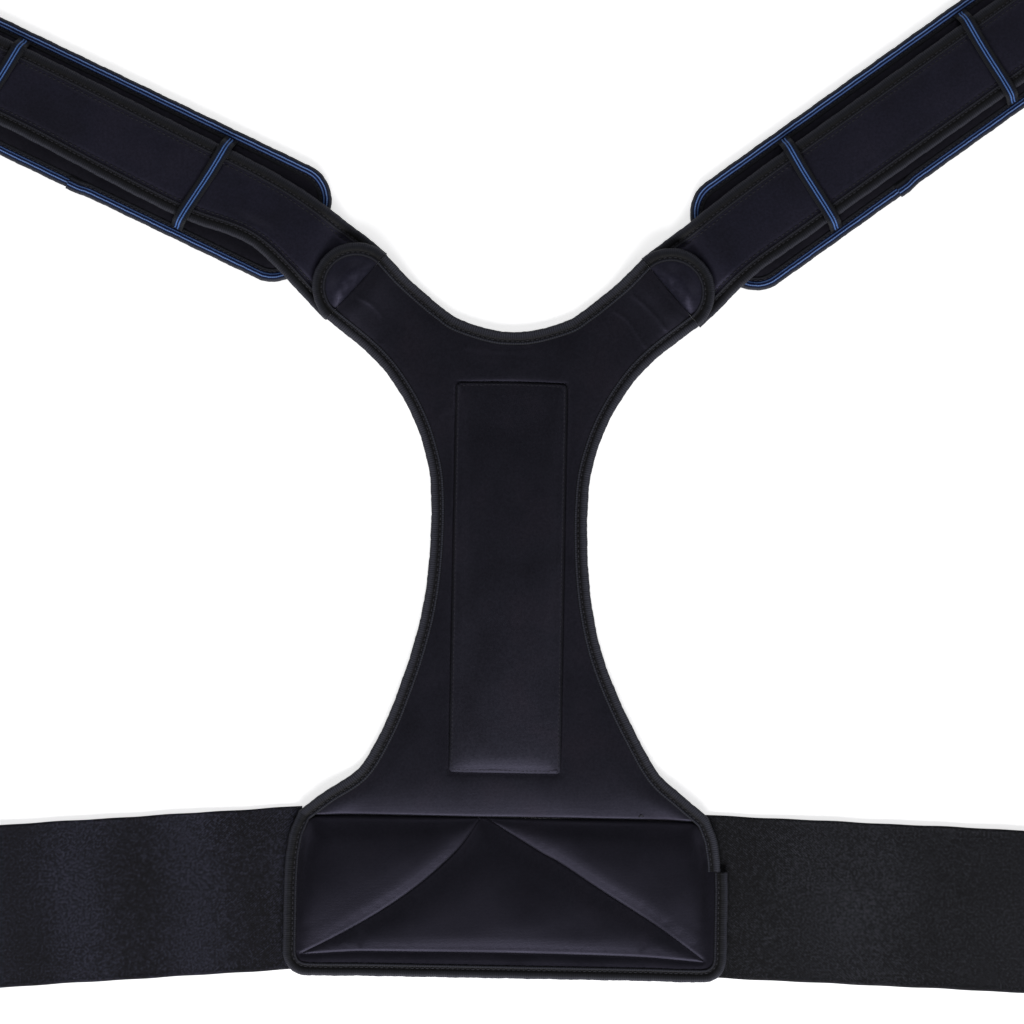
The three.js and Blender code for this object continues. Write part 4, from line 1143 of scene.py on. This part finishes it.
plan, triangles = plan_mesh(lumbar_outline, [left_quilt, right_quilt, hem_seam], grid=2.6)
top = np.column_stack([plan, lumbar_top(plan)])
near_seam = distance_to(plan, left_quilt, right_quilt, hem_seam, top_corners)
edge_distance = distance_to(plan, *pad_edges)
held = (near_seam < 0.2) | (edge_distance < HELD_EDGE)
top = swell(top, triangles, held, pressure=2.5, cap=0.5, loosen=0.004,
            from_seam=np.minimum(near_seam, edge_distance - TAPE_WIDTH))
points, faces = closed_cloth(plan, triangles, top[:, 2],
                             edge_floor(edge_distance) + hip_lift(plan))
points[:len(plan)] = top
# Painted shade: the lumbar pad's colour is darker all over, less dark beside its seams and darker
# near its edges.
painted_light = 0.3 * np.exp(-near_seam / 10.0) - 0.6
painted_light -= 0.25 * (1 - smooth_share(edge_distance, 9, 26))
lumbar = make_piece("lumbar_pad_quilted", points, faces, neoprene,
                    {"painted_light": np.tile(painted_light, 2)}, ["lumbar_pad"])

# %% [markdown]
# ## Tapes of the panel
#
# The right side tape runs on round the hip to where the lumbar tape is lapped over it, 30 mm down;
# the left one is mitred into the lumbar tape at the hip. The neckline tape runs from arm to arm.
# One closed ring of tape would be simpler, but the joints and the lap are what the real edge shows.

# %% Side and neckline tapes
step_share = np.interp((SEAM_Y - STEP_Y) / LUMBAR_HEIGHT, *zip(*LUMBAR_EDGE))
step_half = HIP_HALF + step_share * (LUMBAR_HALF - HIP_HALF)
right_top = [p for p in lumbar_edge(1, 0)[1:5] if p[1] > STEP_Y][::-1]
right_side_line = soften(np.vstack([[(step_half, STEP_Y + 0.3)], right_top,
                                    side_edges["right"]]), 2.2)
hip_mitre = np.array([0.797, -0.604])       # halves the angle of the two tapes at the left hip
neck_cuts = [np.array([arm_across[0], -arm_across[1]]), -arm_across]

sweep_tape("side_tape_right", right_side_line, 1, panel_lift, binding_tape,
           ["side_binding_right"], start_cut=(-1, 0), end_cut=arm_across, seed=11)
sweep_tape("side_tape_left", side_edges["left"], -1, panel_lift, binding_tape,
           ["side_binding_left"], start_cut=hip_mitre,
           end_cut=arm_across * np.array([-1, 1]), seed=12)
sweep_tape("neckline_tape", neck_edge, -1, panel_lift, binding_tape,
           ["neckline_binding"], start_cut=neck_cuts[0], end_cut=neck_cuts[1], seed=13)

# %% [markdown]
# ## Lumbar tape and stitching
#
# The lumbar tape starts with a step at the right, 4 mm further out, where it is lapped over the
# side tape. One row of stitches lies in the groove of each tape. Just above the cross seam, at the
# right, its thread is tied off with two short stitches.

# %% Lumbar tape and the panel's stitches
below_step = [p for p in lumbar_edge(1, LUMBAR_STEP)[1:] if p[1] < STEP_Y - 0.7]
left_run = lumbar_edge(-1, 0)[:-1][::-1].copy()
lumbar_line = soften(np.vstack([[(step_half + LUMBAR_STEP, STEP_Y - 0.15)], below_step, left_run]),
                     2.2)
sweep_tape("lumbar_tape", lumbar_line, -1, hip_lift, shaded_tape,
           ["lumbar_binding"], start_cut=(-1, 0), end_cut=hip_mitre, seed=14)


def groove_height(lift):
    return lambda p: GROOVE_Z + lift(p)


for name, line, side in (("right_side", right_side_line, 1), ("left_side", side_edges["left"], -1),
                         ("neckline", neck_edge, -1), ("lumbar", lumbar_line, -1)):
    lift = hip_lift if name == "lumbar" else panel_lift
    sew(f"{name}_stitches", beside(line, side, GROOVE_U, 3), groove_height(lift), seed=21)

TIED_OFF = (((82.2, -144.4), (83.5, -142.1)), ((83.4, -142.2), (85.2, -143.9)))
for number, ends in enumerate(TIED_OFF):
    sew(f"seam_end_stitch_{number}", np.array(ends, float), lambda p: panel_top(p) + 0.15,
        radius=0.42, seed=71)

# %% [markdown]
# ## Tabs
#
# Each arm ends in a padded half disc that is sewn across at the arm's end and holds the strap
# beneath it. The disc swells up right behind that seam, so the light catches it there. Both tabs
# come from one loop, mirrored by each side's sign.

# %% D-shaped tabs
for name, side in LAY.items():
    sign = side["sign"]
    dir_, across_ = unit(ARM_ANGLE, sign)
    centre = np.array([sign * TAB_X, TAB_Y])
    turn = np.linspace(-math.pi / 2, math.pi / 2, 70)
    arc = centre + np.outer(GAP / 2 + (TAB_RADIUS - GAP / 2) * np.cos(turn), dir_) + np.outer(
        TAB_RADIUS * np.sin(turn), across_)
    sweep_tape(f"tab_tape_{name}", arc, sign, panel_lift, shaded_tape,
               [f"tab_binding_{name}"], start_cut=across_, end_cut=-across_, seed=31 + sign)
    sew(f"tab_stitches_{name}", beside(arc, sign, GROOVE_U, 6), groove_height(panel_lift),
        seed=35 + sign)
    inner = inner_line(arc, sign)
    chord = np.array([inner[-1], inner[0]])

    def tab_top(p):
        u = distance_to(p, arc)
        seam = distance_to(p, chord)
        z = edge_rise(u, 4.1, reach=3.0)
        z += 3.0 * np.exp(-((seam - 8.0) / 6.5) ** 2) * smooth_share(u, 8, 18)
        return z - 1.5 * np.exp(-seam / 1.8) * smooth_share(u, 4, 10) + panel_lift(p)

    plan, triangles = plan_mesh(inner, [], grid=2.0)
    top = np.column_stack([plan, tab_top(plan)])
    from_arc = distance_to(plan, arc)
    held = (distance_to(plan, chord) < 0.2) | (from_arc < HELD_EDGE)
    top = swell(top, triangles, held, pressure=3.0, cap=0.7, loosen=0.01,
                from_seam=from_arc - TAPE_WIDTH)
    bottom = np.where(from_arc < 8.6, 1.0, 0.2) + panel_lift(plan)
    points, faces = closed_cloth(plan, triangles, top[:, 2], bottom)
    points[:len(plan)] = top
    tab = make_piece(f"tab_neoprene_{name}", points, faces, strap_neoprene,
                     replaces=[f"strap_tab_{name}"])

# %% [markdown]
# ## Straps
#
# A strap leaves the tab along the arm and bends to its own angle over the first 112 mm. Its centre
# line is summed up from small steps, and every point of strap, tape, loop and pad is placed by how
# far along and how far across it is.

# %% Centre line of a strap
def strap_path(side):
    """Distances along the strap, its centre line and its heading at each of them."""
    dir_, across_ = unit(ARM_ANGLE, side["sign"])
    start = np.array([side["sign"] * TAB_X, TAB_Y]) + dir_ * GAP + across_ * side["strap_shift"]
    s = np.arange(0, STRAP_LENGTH + 0.5, 1.0)
    heading = ARM_ANGLE + (side["strap_angle"] - ARM_ANGLE) * smooth_share(s, 0, side["bend"])
    middle = np.radians((heading[1:] + heading[:-1]) / 2)
    steps = np.column_stack([side["sign"] * np.cos(middle), np.sin(middle)])
    return s, start + np.vstack([[0, 0], np.cumsum(steps, axis=0)]), np.radians(heading)


def strap_place(side, along, aside):
    """Plan point at a distance along the strap and across it; arrays of equal length."""
    s, line, heading = side["path"]
    along, aside = np.broadcast_arrays(np.asarray(along, float), np.asarray(aside, float))
    turn = np.interp(along, s, heading)
    x = np.interp(along, s, line[:, 0]) - side["sign"] * np.sin(turn) * aside
    y = np.interp(along, s, line[:, 1]) + np.cos(turn) * aside
    return np.column_stack([np.ravel(x), np.ravel(y)])


def pad_origin(side):
    """Middle of the pad's near end, with its directions along and across."""
    straight = strap_place(side, [side["bend"]], [0])[0]
    dir_, across_ = unit(side["strap_angle"], side["sign"])
    return straight + dir_ * (side["pad_start"] - side["bend"]), dir_, across_


for side in LAY.values():
    side["path"] = strap_path(side)
    side["pad"] = pad_origin(side)


def strap_lift(side):
    """The rise of a strap over its pad."""
    start, dir_, _ = side["pad"]
    rest = PAD_THICK + GAP
    ramp = STRAP_RAMP * rest / (TAB_LIFT + GAP / 2)

    def lift(p):
        s = (p - start) @ dir_
        from_end = np.minimum(s, PAD_LENGTH - s)
        return rest * smooth_share(from_end, -STRAP_RAMP, ramp - STRAP_RAMP + 2)
    return lift


def strap_half(along):
    return (STRAP_ROOT + (STRAP_WIDTH - STRAP_ROOT) * smooth_share(along, 0, STRAP_TAPER)) / 2


print("strap ends at", [np.round(side["path"][1][-1]) for side in LAY.values()])

# %% [markdown]
# ## Slack at a strap's lower edge
#
# The lower edge of the left strap bows up where it leaves the pad: the strap is bent sideways there
# and the slack has to go somewhere. A bow moves that edge inwards in plan and lifts it. The left
# strap also drifts to the upper side of its pad towards the outer loop.

# %% Bows and drift
# Each bow: its middle along the strap, its half length, how far it shifts and how far it rises.
BOWS = {"left": ((70, 29, 5.2, 3.4), (240, 62, 1.8, 0.6)), "right": ((50, 22, 1.2, 0.8),)}
DRIFT = {"left": 1.9, "right": 0}


def bowed(name, along, aside, half):
    """How far the strap moves across and up at a place, from where its lower edge bows."""
    low = smooth_share(-aside / half, 0.0, 0.62)
    across, up = DRIFT[name] * smooth_share(along, 90, 240), 0
    for middle, spread, shift, rise in BOWS[name]:
        near = low * np.exp(-((along - middle) / spread) ** 2)
        across, up = across + near * shift, up + near * rise
    return across, up


print("bow of the left strap", bowed("left", 70, -25.5, 25.5), "mm across and up")

# %% [markdown]
# ## Strap bodies
#
# A strap is one long strip of neoprene, so a grid of points along and across it is enough: the
# columns lie closer together where the cloth comes out of the tape and dips at its second row of
# stitches. Its end is cut round at the corners.

# %% Strap bodies
INNER_ROW_U = 9.6       # second row of stitches, on the cloth beside the tape
HALF_COLUMNS = [-1, -0.97, -0.93, -0.88, -0.82, -0.78, -0.74, -0.71, -0.69, -0.67,
                -0.64, -0.6, -0.54, -0.45, -0.3, -0.15, 0]
STRAP_COLUMNS = np.array(HALF_COLUMNS + [-c for c in HALF_COLUMNS[-2::-1]])


def closed_sheet(rows, count, turned):
    """Faces of a closed sheet from a grid of points: its top, its underside and its rim."""
    total = rows * count
    quads = [(i * count + k, i * count + k + 1, (i + 1) * count + k + 1, (i + 1) * count + k)
             for i in range(rows - 1) for k in range(count - 1)]
    ring = (list(range(count)) + [i * count + count - 1 for i in range(1, rows)]
            + [(rows - 1) * count + k for k in range(count - 2, -1, -1)]
            + [i * count for i in range(rows - 2, 0, -1)])
    rim = [(b, a, a + total, b + total) for a, b in zip(ring, ring[1:] + ring[:1])]
    faces = quads + [tuple(v + total for v in q[::-1]) for q in quads] + rim
    return [f[::-1] for f in faces] if turned else faces


def strap_body(name, side):
    along = np.concatenate([np.arange(0, STRAP_LENGTH - 16, 2.5),
                            STRAP_LENGTH - 1 - 14 * (1 - np.sin(np.linspace(0, math.pi / 2, 10)))])
    corner = np.maximum(0, along - (STRAP_LENGTH - STRAP_CORNER))
    narrow = STRAP_CORNER - np.sqrt(np.maximum(0, STRAP_CORNER**2 - corner**2))
    half = strap_half(along)
    far, column = np.meshgrid(along, STRAP_COLUMNS, indexing="ij")
    aside = (column * (half - narrow - EDGE_INSET)[:, None]).ravel()
    far = far.ravel()
    widest, lost = (np.repeat(v, len(STRAP_COLUMNS)) for v in (half, narrow))
    shift, rise = bowed(name, far, aside, widest)
    place = strap_place(side, far, aside + shift)
    u = np.minimum(widest - lost - np.abs(aside), STRAP_LENGTH - far)
    top = edge_rise(u, 3.75) - 0.55 * np.exp(-((u - INNER_ROW_U) / 0.8) ** 2)
    top += 0.5 * smooth_share(u, 10, 24)
    wrinkle = undulate(np.column_stack([far, aside]), 0.35, (46, 12, 0.4), (31, -20, 2.0),
                       (90, 5, 1.0))
    top += wrinkle * smooth_share(u, 9, 18)
    bottom = GAP + 0.7 * (1 - smooth_share(u, *FOLD_END))
    z = strap_lift(side)(place) + rise
    points = np.vstack([np.column_stack([place, top + z]), np.column_stack([place, bottom + z])])
    faces = closed_sheet(len(along), len(STRAP_COLUMNS), side["sign"] > 0)
    strap = make_piece(f"strap_neoprene_{name}", points, faces, strap_neoprene,
                       replaces=[f"shoulder_strap_{name}"])


# %% [markdown]
# ## Strap tapes and stitches
#
# The tape runs down one edge, round the end and back up the other, and starts and ends where the
# arm covers it. It rises with the strap's bow. Two rows of stitches lie along it, one in its
# groove and one on the cloth beside it.

# %% Strap tapes and stitches
def strap_edge(name, side):
    """The tape's line round the strap, its measure along and its rise where the edge bows."""
    turn = np.linspace(0, math.pi / 2, 16)
    end_s = STRAP_LENGTH - STRAP_CORNER * (1 - np.sin(turn))
    end_a = strap_half(STRAP_LENGTH) - STRAP_CORNER * (1 - np.cos(turn))
    straight = np.arange(0, STRAP_LENGTH - STRAP_CORNER - 0.6, 1.25)
    edge_s = np.concatenate([straight, end_s, end_s[::-1], straight[::-1]])
    edge_a = np.concatenate([strap_half(straight), end_a, -end_a[::-1],
                             -strap_half(straight)[::-1]])
    shift, rise = bowed(name, edge_s, edge_a, strap_half(edge_s))
    line = strap_place(side, edge_s, edge_a + shift)
    run = run_of(line)
    keep = np.concatenate([[True], np.diff(run) > 0.2])
    line, rise, run = line[keep], rise[keep], run[keep]
    even = np.linspace(0, run[-1], round(run[-1] / 1.3) + 1)
    line = np.column_stack([np.interp(even, run, line[:, 0]), np.interp(even, run, line[:, 1])])
    return line, even, np.interp(even, run, rise)


def strap_trim(name, side):
    sign, lift = side["sign"], strap_lift(side)
    line, even, rise = strap_edge(name, side)
    root_across = unit(ARM_ANGLE, sign)[1]

    def with_rise(place, up, run):
        return place, up + np.interp(run, even, rise)

    sweep_tape(f"strap_tape_{name}", line, -sign, lift, shaded_tape,
               [f"strap_binding_{name}"], start_cut=-root_across, end_cut=root_across,
               seed=41 + sign, extra=with_rise)
    for row, inset, base in (("outer", GROOVE_U, GROOVE_Z), ("inner", INNER_ROW_U, 3.25)):
        seam_line = line + left_of(line) * -sign * inset

        def seam_height(p):
            nearest = np.array([((seam_line - q) ** 2).sum(1).argmin() for q in p])
            return base + lift(p) + rise[nearest]

        sew(f"strap_{row}_stitches_{name}", seam_line[4:-4], seam_height, seed=51 + sign)


for name, side in LAY.items():
    strap_body(name, side)
    strap_trim(name, side)

# %% [markdown]
# ## Shoulder pads
#
# A foam pad, faced with jersey and pressed down in its middle by the strap. Its outline is a long
# rectangle with round corners, triangulated in plan as the panel is.

# %% Pad bodies
def pad_ring(step=1.3):
    """Along and across positions round the pad's outer edge, from the middle of the near end."""
    h, r, length = PAD_WIDTH / 2, PAD_CORNER, PAD_LENGTH
    line = [(0, 0)]
    for cx, cy, start in ((r, h - r, 180), (length - r, h - r, 90), (length - r, r - h, 0),
                          (r, r - h, -90)):
        for a in np.radians(np.linspace(start, start - 90, 14)):
            line.append((cx + r * math.cos(a), cy + r * math.sin(a)))
    line.append((0, 0))
    return respace(np.array(line), step)


def pad_body(name, side):
    """Makes the pad and returns its outer edge in plan."""
    start, dir_, across_ = side["pad"]
    ring = pad_ring()
    plan_ring = start + np.outer(ring[:, 0], dir_) + np.outer(ring[:, 1], across_)
    plan, triangles = plan_mesh(inner_line(plan_ring, -side["sign"])[:-1], [], grid=3.2)
    u = distance_to(plan, plan_ring)
    s, a = (plan - start) @ dir_, (plan - start) @ across_
    pressed = 0.5 * smooth_share(30 - np.abs(a), 0, 6)
    local = np.column_stack([s, a])
    top = (edge_rise(u, 5.3, reach=4.0) - pressed * smooth_share(u, 8, 14)
           + undulate(local, 0.2, (38, 10, 0), (27, 75, 1)) * smooth_share(u, 9, 15))
    bottom = 1.0 * (1 - smooth_share(u, 7.9, 9.9)) + 0.02
    points, faces = closed_cloth(plan, triangles, np.minimum(top, PAD_THICK + 0.25), bottom)
    pad = make_piece(f"pad_foam_{name}", points, faces, pad_neoprene,
                     replaces=[f"shoulder_pad_{name}"])
    return plan_ring


# %% [markdown]
# ## Striped tapes of the pads
#
# One length of tape goes all round a pad, starts on its lower edge, and is lapped over its own
# start. On the left pad the lapped end points the other way.

# %% Striped tapes and their stitches
# Share of the way round at which the tape is joined, and which way the lapped end points.
JOINT = {"left": (0.266, -1), "right": (0.222, 1)}
LAP_POINTS = 6


def pad_trim(name, side, plan_ring):
    sign = side["sign"]
    count = len(plan_ring) - 1
    share, way = JOINT[name]
    first = int(count * (1 - share))
    order = [(first + i) % count for i in range(count + LAP_POINTS)]
    lapped = smooth_share(np.arange(len(order))[::way], count - LAP_POINTS, count)
    tape_line = plan_ring[order] + left_of(plan_ring)[order] * (sign * lapped)[:, None]

    def over_start(place, up, run):
        return place, up + 0.75 * lapped

    sweep_tape(f"pad_tape_{name}", tape_line, -sign, lambda p: np.zeros(len(p)), striped_tape,
               [f"pad_binding_{name}"], width=STRIPED_WIDTH, seed=61 + sign,
               extra=over_start)
    sew(f"pad_stitches_{name}", beside(tape_line, -sign, 6.1, 2), lambda p: np.full(len(p), 3.5),
        seed=65 + sign)


for name, side in LAY.items():
    pad_trim(name, side, pad_body(name, side))

# %% [markdown]
# ## Loops
#
# Each loop is a length of striped tape, sewn down at both edges of the pad. It stands up at the
# strap's edges and lies flat over it. A bezier curve with a bevel could make it, but a rounded flat
# section swept along the arch carries the stripes' measures too.

# %% Loops over the straps
def loop_arch():
    """Across and up positions of a loop's underside, from one foot to the other."""
    half = PAD_WIDTH / 2 - STRIPED_WIDTH - GAP
    knots = [(-half - 2.4, 3.7), (-half - 0.4, 4.6), (-half + 0.9, 7.2), (-half + 3.0, 9.3),
             (-half + 7, 9.95), (-half * 0.4, 9.85), (0, 9.8)]
    knots += [(-a, z) for a, z in reversed(knots[:-1])]
    return curve(knots, 1.2)


LOOP_SECTION = [(-4, 0.25), (-3.75, 0.05), (-2, 0), (0, 0), (2, 0), (3.75, 0.05), (4, 0.25),
                (4, 0.7), (3.7, 0.95), (2.4, 1.05), (1.2, 1.0), (0, 1.02), (-1.2, 1.0),
                (-2.4, 1.05), (-3.7, 0.95), (-4, 0.7)]

for name, side in LAY.items():
    sign = side["sign"]
    for which, inset in side["loops"].items():
        middle = strap_place(side, [side["pad_start"] + inset], [0])[0]
        dir_, across_ = unit(side["strap_angle"] + side["loop_lean"], sign)
        arch = loop_arch()
        out, run = left_of(arch), run_of(arch)
        sway = 0.25 * np.sin(run / 9.0)
        points, along, across = [], [], []
        for i, (a, z) in enumerate(arch):
            for w, t in LOOP_SECTION:
                aside = a + out[i, 0] * t
                plan_point = middle + dir_ * (w + sway[i]) + across_ * aside
                points.append((plan_point[0], plan_point[1], z + out[i, 1] * t))
                along.append(run[i])
                across.append(w + 4)
        faces = tube_faces(len(arch), len(LOOP_SECTION), sign > 0)
        make_piece(f"loop_{name}_{which}", points, faces, striped_loop,
                   {"along": along, "across": across}, [f"pad_loop_{name}_{which}"])

# %% [markdown]
# ## Belts
#
# Flat woven elastic, 99 mm wide. Its inner end is sewn under the lumbar pad, it waves slightly
# where it lies free, and both long edges end in a firm selvedge.

# %% Waist belts
firm = np.array([0.95, 0.965, 0.98, 0.995, 1])      # columns in the selvedge

for name, side in LAY.items():
    sign = side["sign"]
    dir_, across_ = unit(-side["belt_droop"], sign)
    start = np.array([sign * (LUMBAR_HALF - BELT_TUCK), -side["belt_drop"]])
    length = (BELT_REACH - LUMBAR_HALF + BELT_TUCK) / math.cos(math.radians(side["belt_droop"]))
    along = np.linspace(0, length, round(length / 2.2) + 1)
    share = np.concatenate([-firm[::-1], np.linspace(-0.92, 0.92, 38), firm])
    far, aside = (v.ravel() for v in np.meshgrid(along, share * BELT_WIDTH / 2, indexing="ij"))
    edge = BELT_WIDTH / 2 - np.abs(aside)
    round_off = np.sqrt(np.clip(1 - (1 - np.clip(edge / 0.9, 0, 1)) ** 2, 0, 1))
    selvedge = 0.18 * np.exp(-((edge - 1.4) / 0.8) ** 2)
    free = smooth_share(far, 26, 60)
    wave = free * (0.55 + undulate(np.column_stack([far, aside]), 0.55, (61, 3, 0.6),
                                   (97, -6, 2.4), (140, 14, 0.9)))
    half_thick = BELT_THICK * 0.5
    top = half_thick + half_thick * round_off + selvedge * free + wave
    bottom = half_thick - half_thick * round_off + wave
    ripple = 0.25 * np.sin(far / 7.3) * np.sin(far / 19.0)
    ripple *= (np.abs(aside) / (BELT_WIDTH / 2)) ** 8
    place = start + np.outer(far, dir_) + np.outer(aside + ripple, across_)
    faces = closed_sheet(len(along), len(share), sign > 0)
    points = np.vstack([np.column_stack([place, top]), np.column_stack([place, bottom - 0.001])])
    marks = {"along": np.tile(far, 2), "across": np.tile(aside + BELT_WIDTH / 2, 2)}
    belt = make_piece(f"belt_elastic_{name}", points, faces, elastic[name], marks,
                      [f"waist_belt_{name}"])
    side["belt"] = (start, dir_, across_, length)

# %% [markdown]
# ## Hook tape at the free ends
#
# A patch of hook tape closes each strap and belt. It is a thin nylon ground with rows of small
# hooks, which are drawn 2 mm apart instead of 1.2 mm. Real hooks are bent wires; at this size a
# slanted tapered block catches the light as well, with far fewer faces.

# %% Hook patches
HOOK_PITCH = 2.0


def hook_patch(name, origin, dir_, across_, size, base, node):
    """A ground with round corners, then one small tapered block for each hook."""
    length, width = size
    points, faces = [], []
    r = 3.0
    ring = []
    for cx, cy, first in ((length - r, width / 2 - r, 90), (length - r, r - width / 2, 0),
                          (r, r - width / 2, -90), (r, width / 2 - r, -180)):
        for a in np.radians(np.linspace(first, first - 90, 5)):
            ring.append((cx + r * math.cos(a), cy + r * math.sin(a)))
    for inset, z in ((0, 0), (0, 0.5), (0.35, 0.8)):
        for s, a in ring:
            s2 = s + inset * (1 if s < length / 2 else -1)
            a2 = a - inset * math.copysign(1, a)
            q = origin + dir_ * s2 + across_ * a2
            points.append((q[0], q[1], base + z))
    n = len(ring)
    for level in range(2):
        for k in range(n):
            m = (k + 1) % n
            faces.append((level * n + k, (level + 1) * n + k, (level + 1) * n + m, level * n + m))
    faces += [tuple(range(n)), tuple(2 * n + k for k in reversed(range(n)))]
    for s in np.arange(2.2, length - 2, HOOK_PITCH):
        for a in np.arange(-width / 2 + 2.2, width / 2 - 2, HOOK_PITCH):
            foot = origin + dir_ * s + across_ * a
            b = len(points)
            for q, half, up in ((foot, 0.38, 0.75), (foot + dir_ * 0.45, 0.22, 1.55)):
                points += [(q[0] + x * half, q[1] + y * half, base + up)
                           for x, y in ((1, 1), (-1, 1), (-1, -1), (1, -1))]
            faces += [(b + k, b + (k + 1) % 4, b + 4 + (k + 1) % 4, b + 4 + k) for k in range(4)]
            faces += [(b + 4, b + 5, b + 6, b + 7), (b + 3, b + 2, b + 1, b)]
    turned = dir_[0] * across_[1] - dir_[1] * across_[0] < 0
    body, hooks = faces[:2 * n + 2], faces[2 * n + 2:]
    faces = ([f[::-1] for f in body] if turned else body) + hooks
    make_piece(name, points, faces, hook_nylon, replaces=[node], sharp=35)


for name, side in LAY.items():
    start, dir_, across_, length = side["belt"]
    hook_patch(f"belt_hooks_{name}", start + dir_ * (length - HOOK_MARGIN - HOOK_LENGTH), dir_,
               across_, (HOOK_LENGTH, BELT_WIDTH - 2 * HOOK_MARGIN), BELT_LIFT + 1.0,
               f"belt_end_{name}")
    end = strap_place(side, [STRAP_LENGTH], [0])[0]
    dir_, across_ = unit(side["strap_angle"], side["sign"])
    hook_patch(f"strap_hooks_{name}", end - dir_ * (TAPE_WIDTH + 3 + HOOK_LENGTH), dir_, across_,
               (HOOK_LENGTH, STRAP_WIDTH - 2 * (TAPE_WIDTH + 3.2)), 4.25, f"strap_end_{name}")

# %% [markdown]
# ## Floor and light
#
# White paper under a large soft light from the side of the belts. That is why the rolls above each
# seam are bright, their far sides dark, and the faint shadows lie on the neck side of each edge.
# Three weak fills keep the other sides open.

# %% Floor, lights and view
floor_mesh = bpy.data.meshes.new("paper_floor")
floor_mesh.from_pydata([(-6, -6, 0), (6, -6, 0), (6, 6, 0), (-6, 6, 0)], [], [(0, 1, 2, 3)])
floor_mesh.materials.append(paper)
floor = bpy.data.objects.new("paper_floor", floor_mesh)
floor.location.z = -0.0003
bpy.context.scene.collection.objects.link(floor)


def soft_light(name, place, target, size, power, colour="#ffffff"):
    lamp = bpy.data.lights.new(name, "AREA")
    lamp.shape = "RECTANGLE"
    lamp.size, lamp.size_y = size
    lamp.energy = power
    lamp.color = linear(colour)[:3]
    holder = bpy.data.objects.new(name, lamp)
    holder.location = place
    holder.rotation_euler = (Vector(target) - Vector(place)).to_track_quat("-Z", "Y").to_euler()
    bpy.context.scene.collection.objects.link(holder)


soft_light("key", (0.1, -1.9, 1.15), (0, 0, 0), (1.8, 0.9), 48, "#fdfcff")
soft_light("left_fill", (-2.0, 0.5, 1.5), (0, 0, 0), (1.4, 1.4), 7)
soft_light("right_fill", (2.0, 0.6, 1.5), (0, 0, 0), (1.4, 1.4), 7)
soft_light("neck_fill", (0, 2.1, 1.3), (0, 0, 0), (1.8, 1.0), 6)
world = bpy.data.worlds.new("studio")
world.use_nodes = True
world.node_tree.nodes["Background"].inputs["Color"].default_value = linear("#e8e9ee")
world.node_tree.nodes["Background"].inputs["Strength"].default_value = 0.1
bpy.context.scene.world = world
bpy.context.scene.view_settings.view_transform = "Standard"
bpy.context.scene.view_settings.look = "None"
print("pieces", len(made))

# %% [markdown]
# ## Finish
#
# The triangles of all pieces are counted and printed.

# %% Triangle count
print("triangles", sum(sum(len(p.vertices) - 2 for p in o.data.polygons) for o in made))
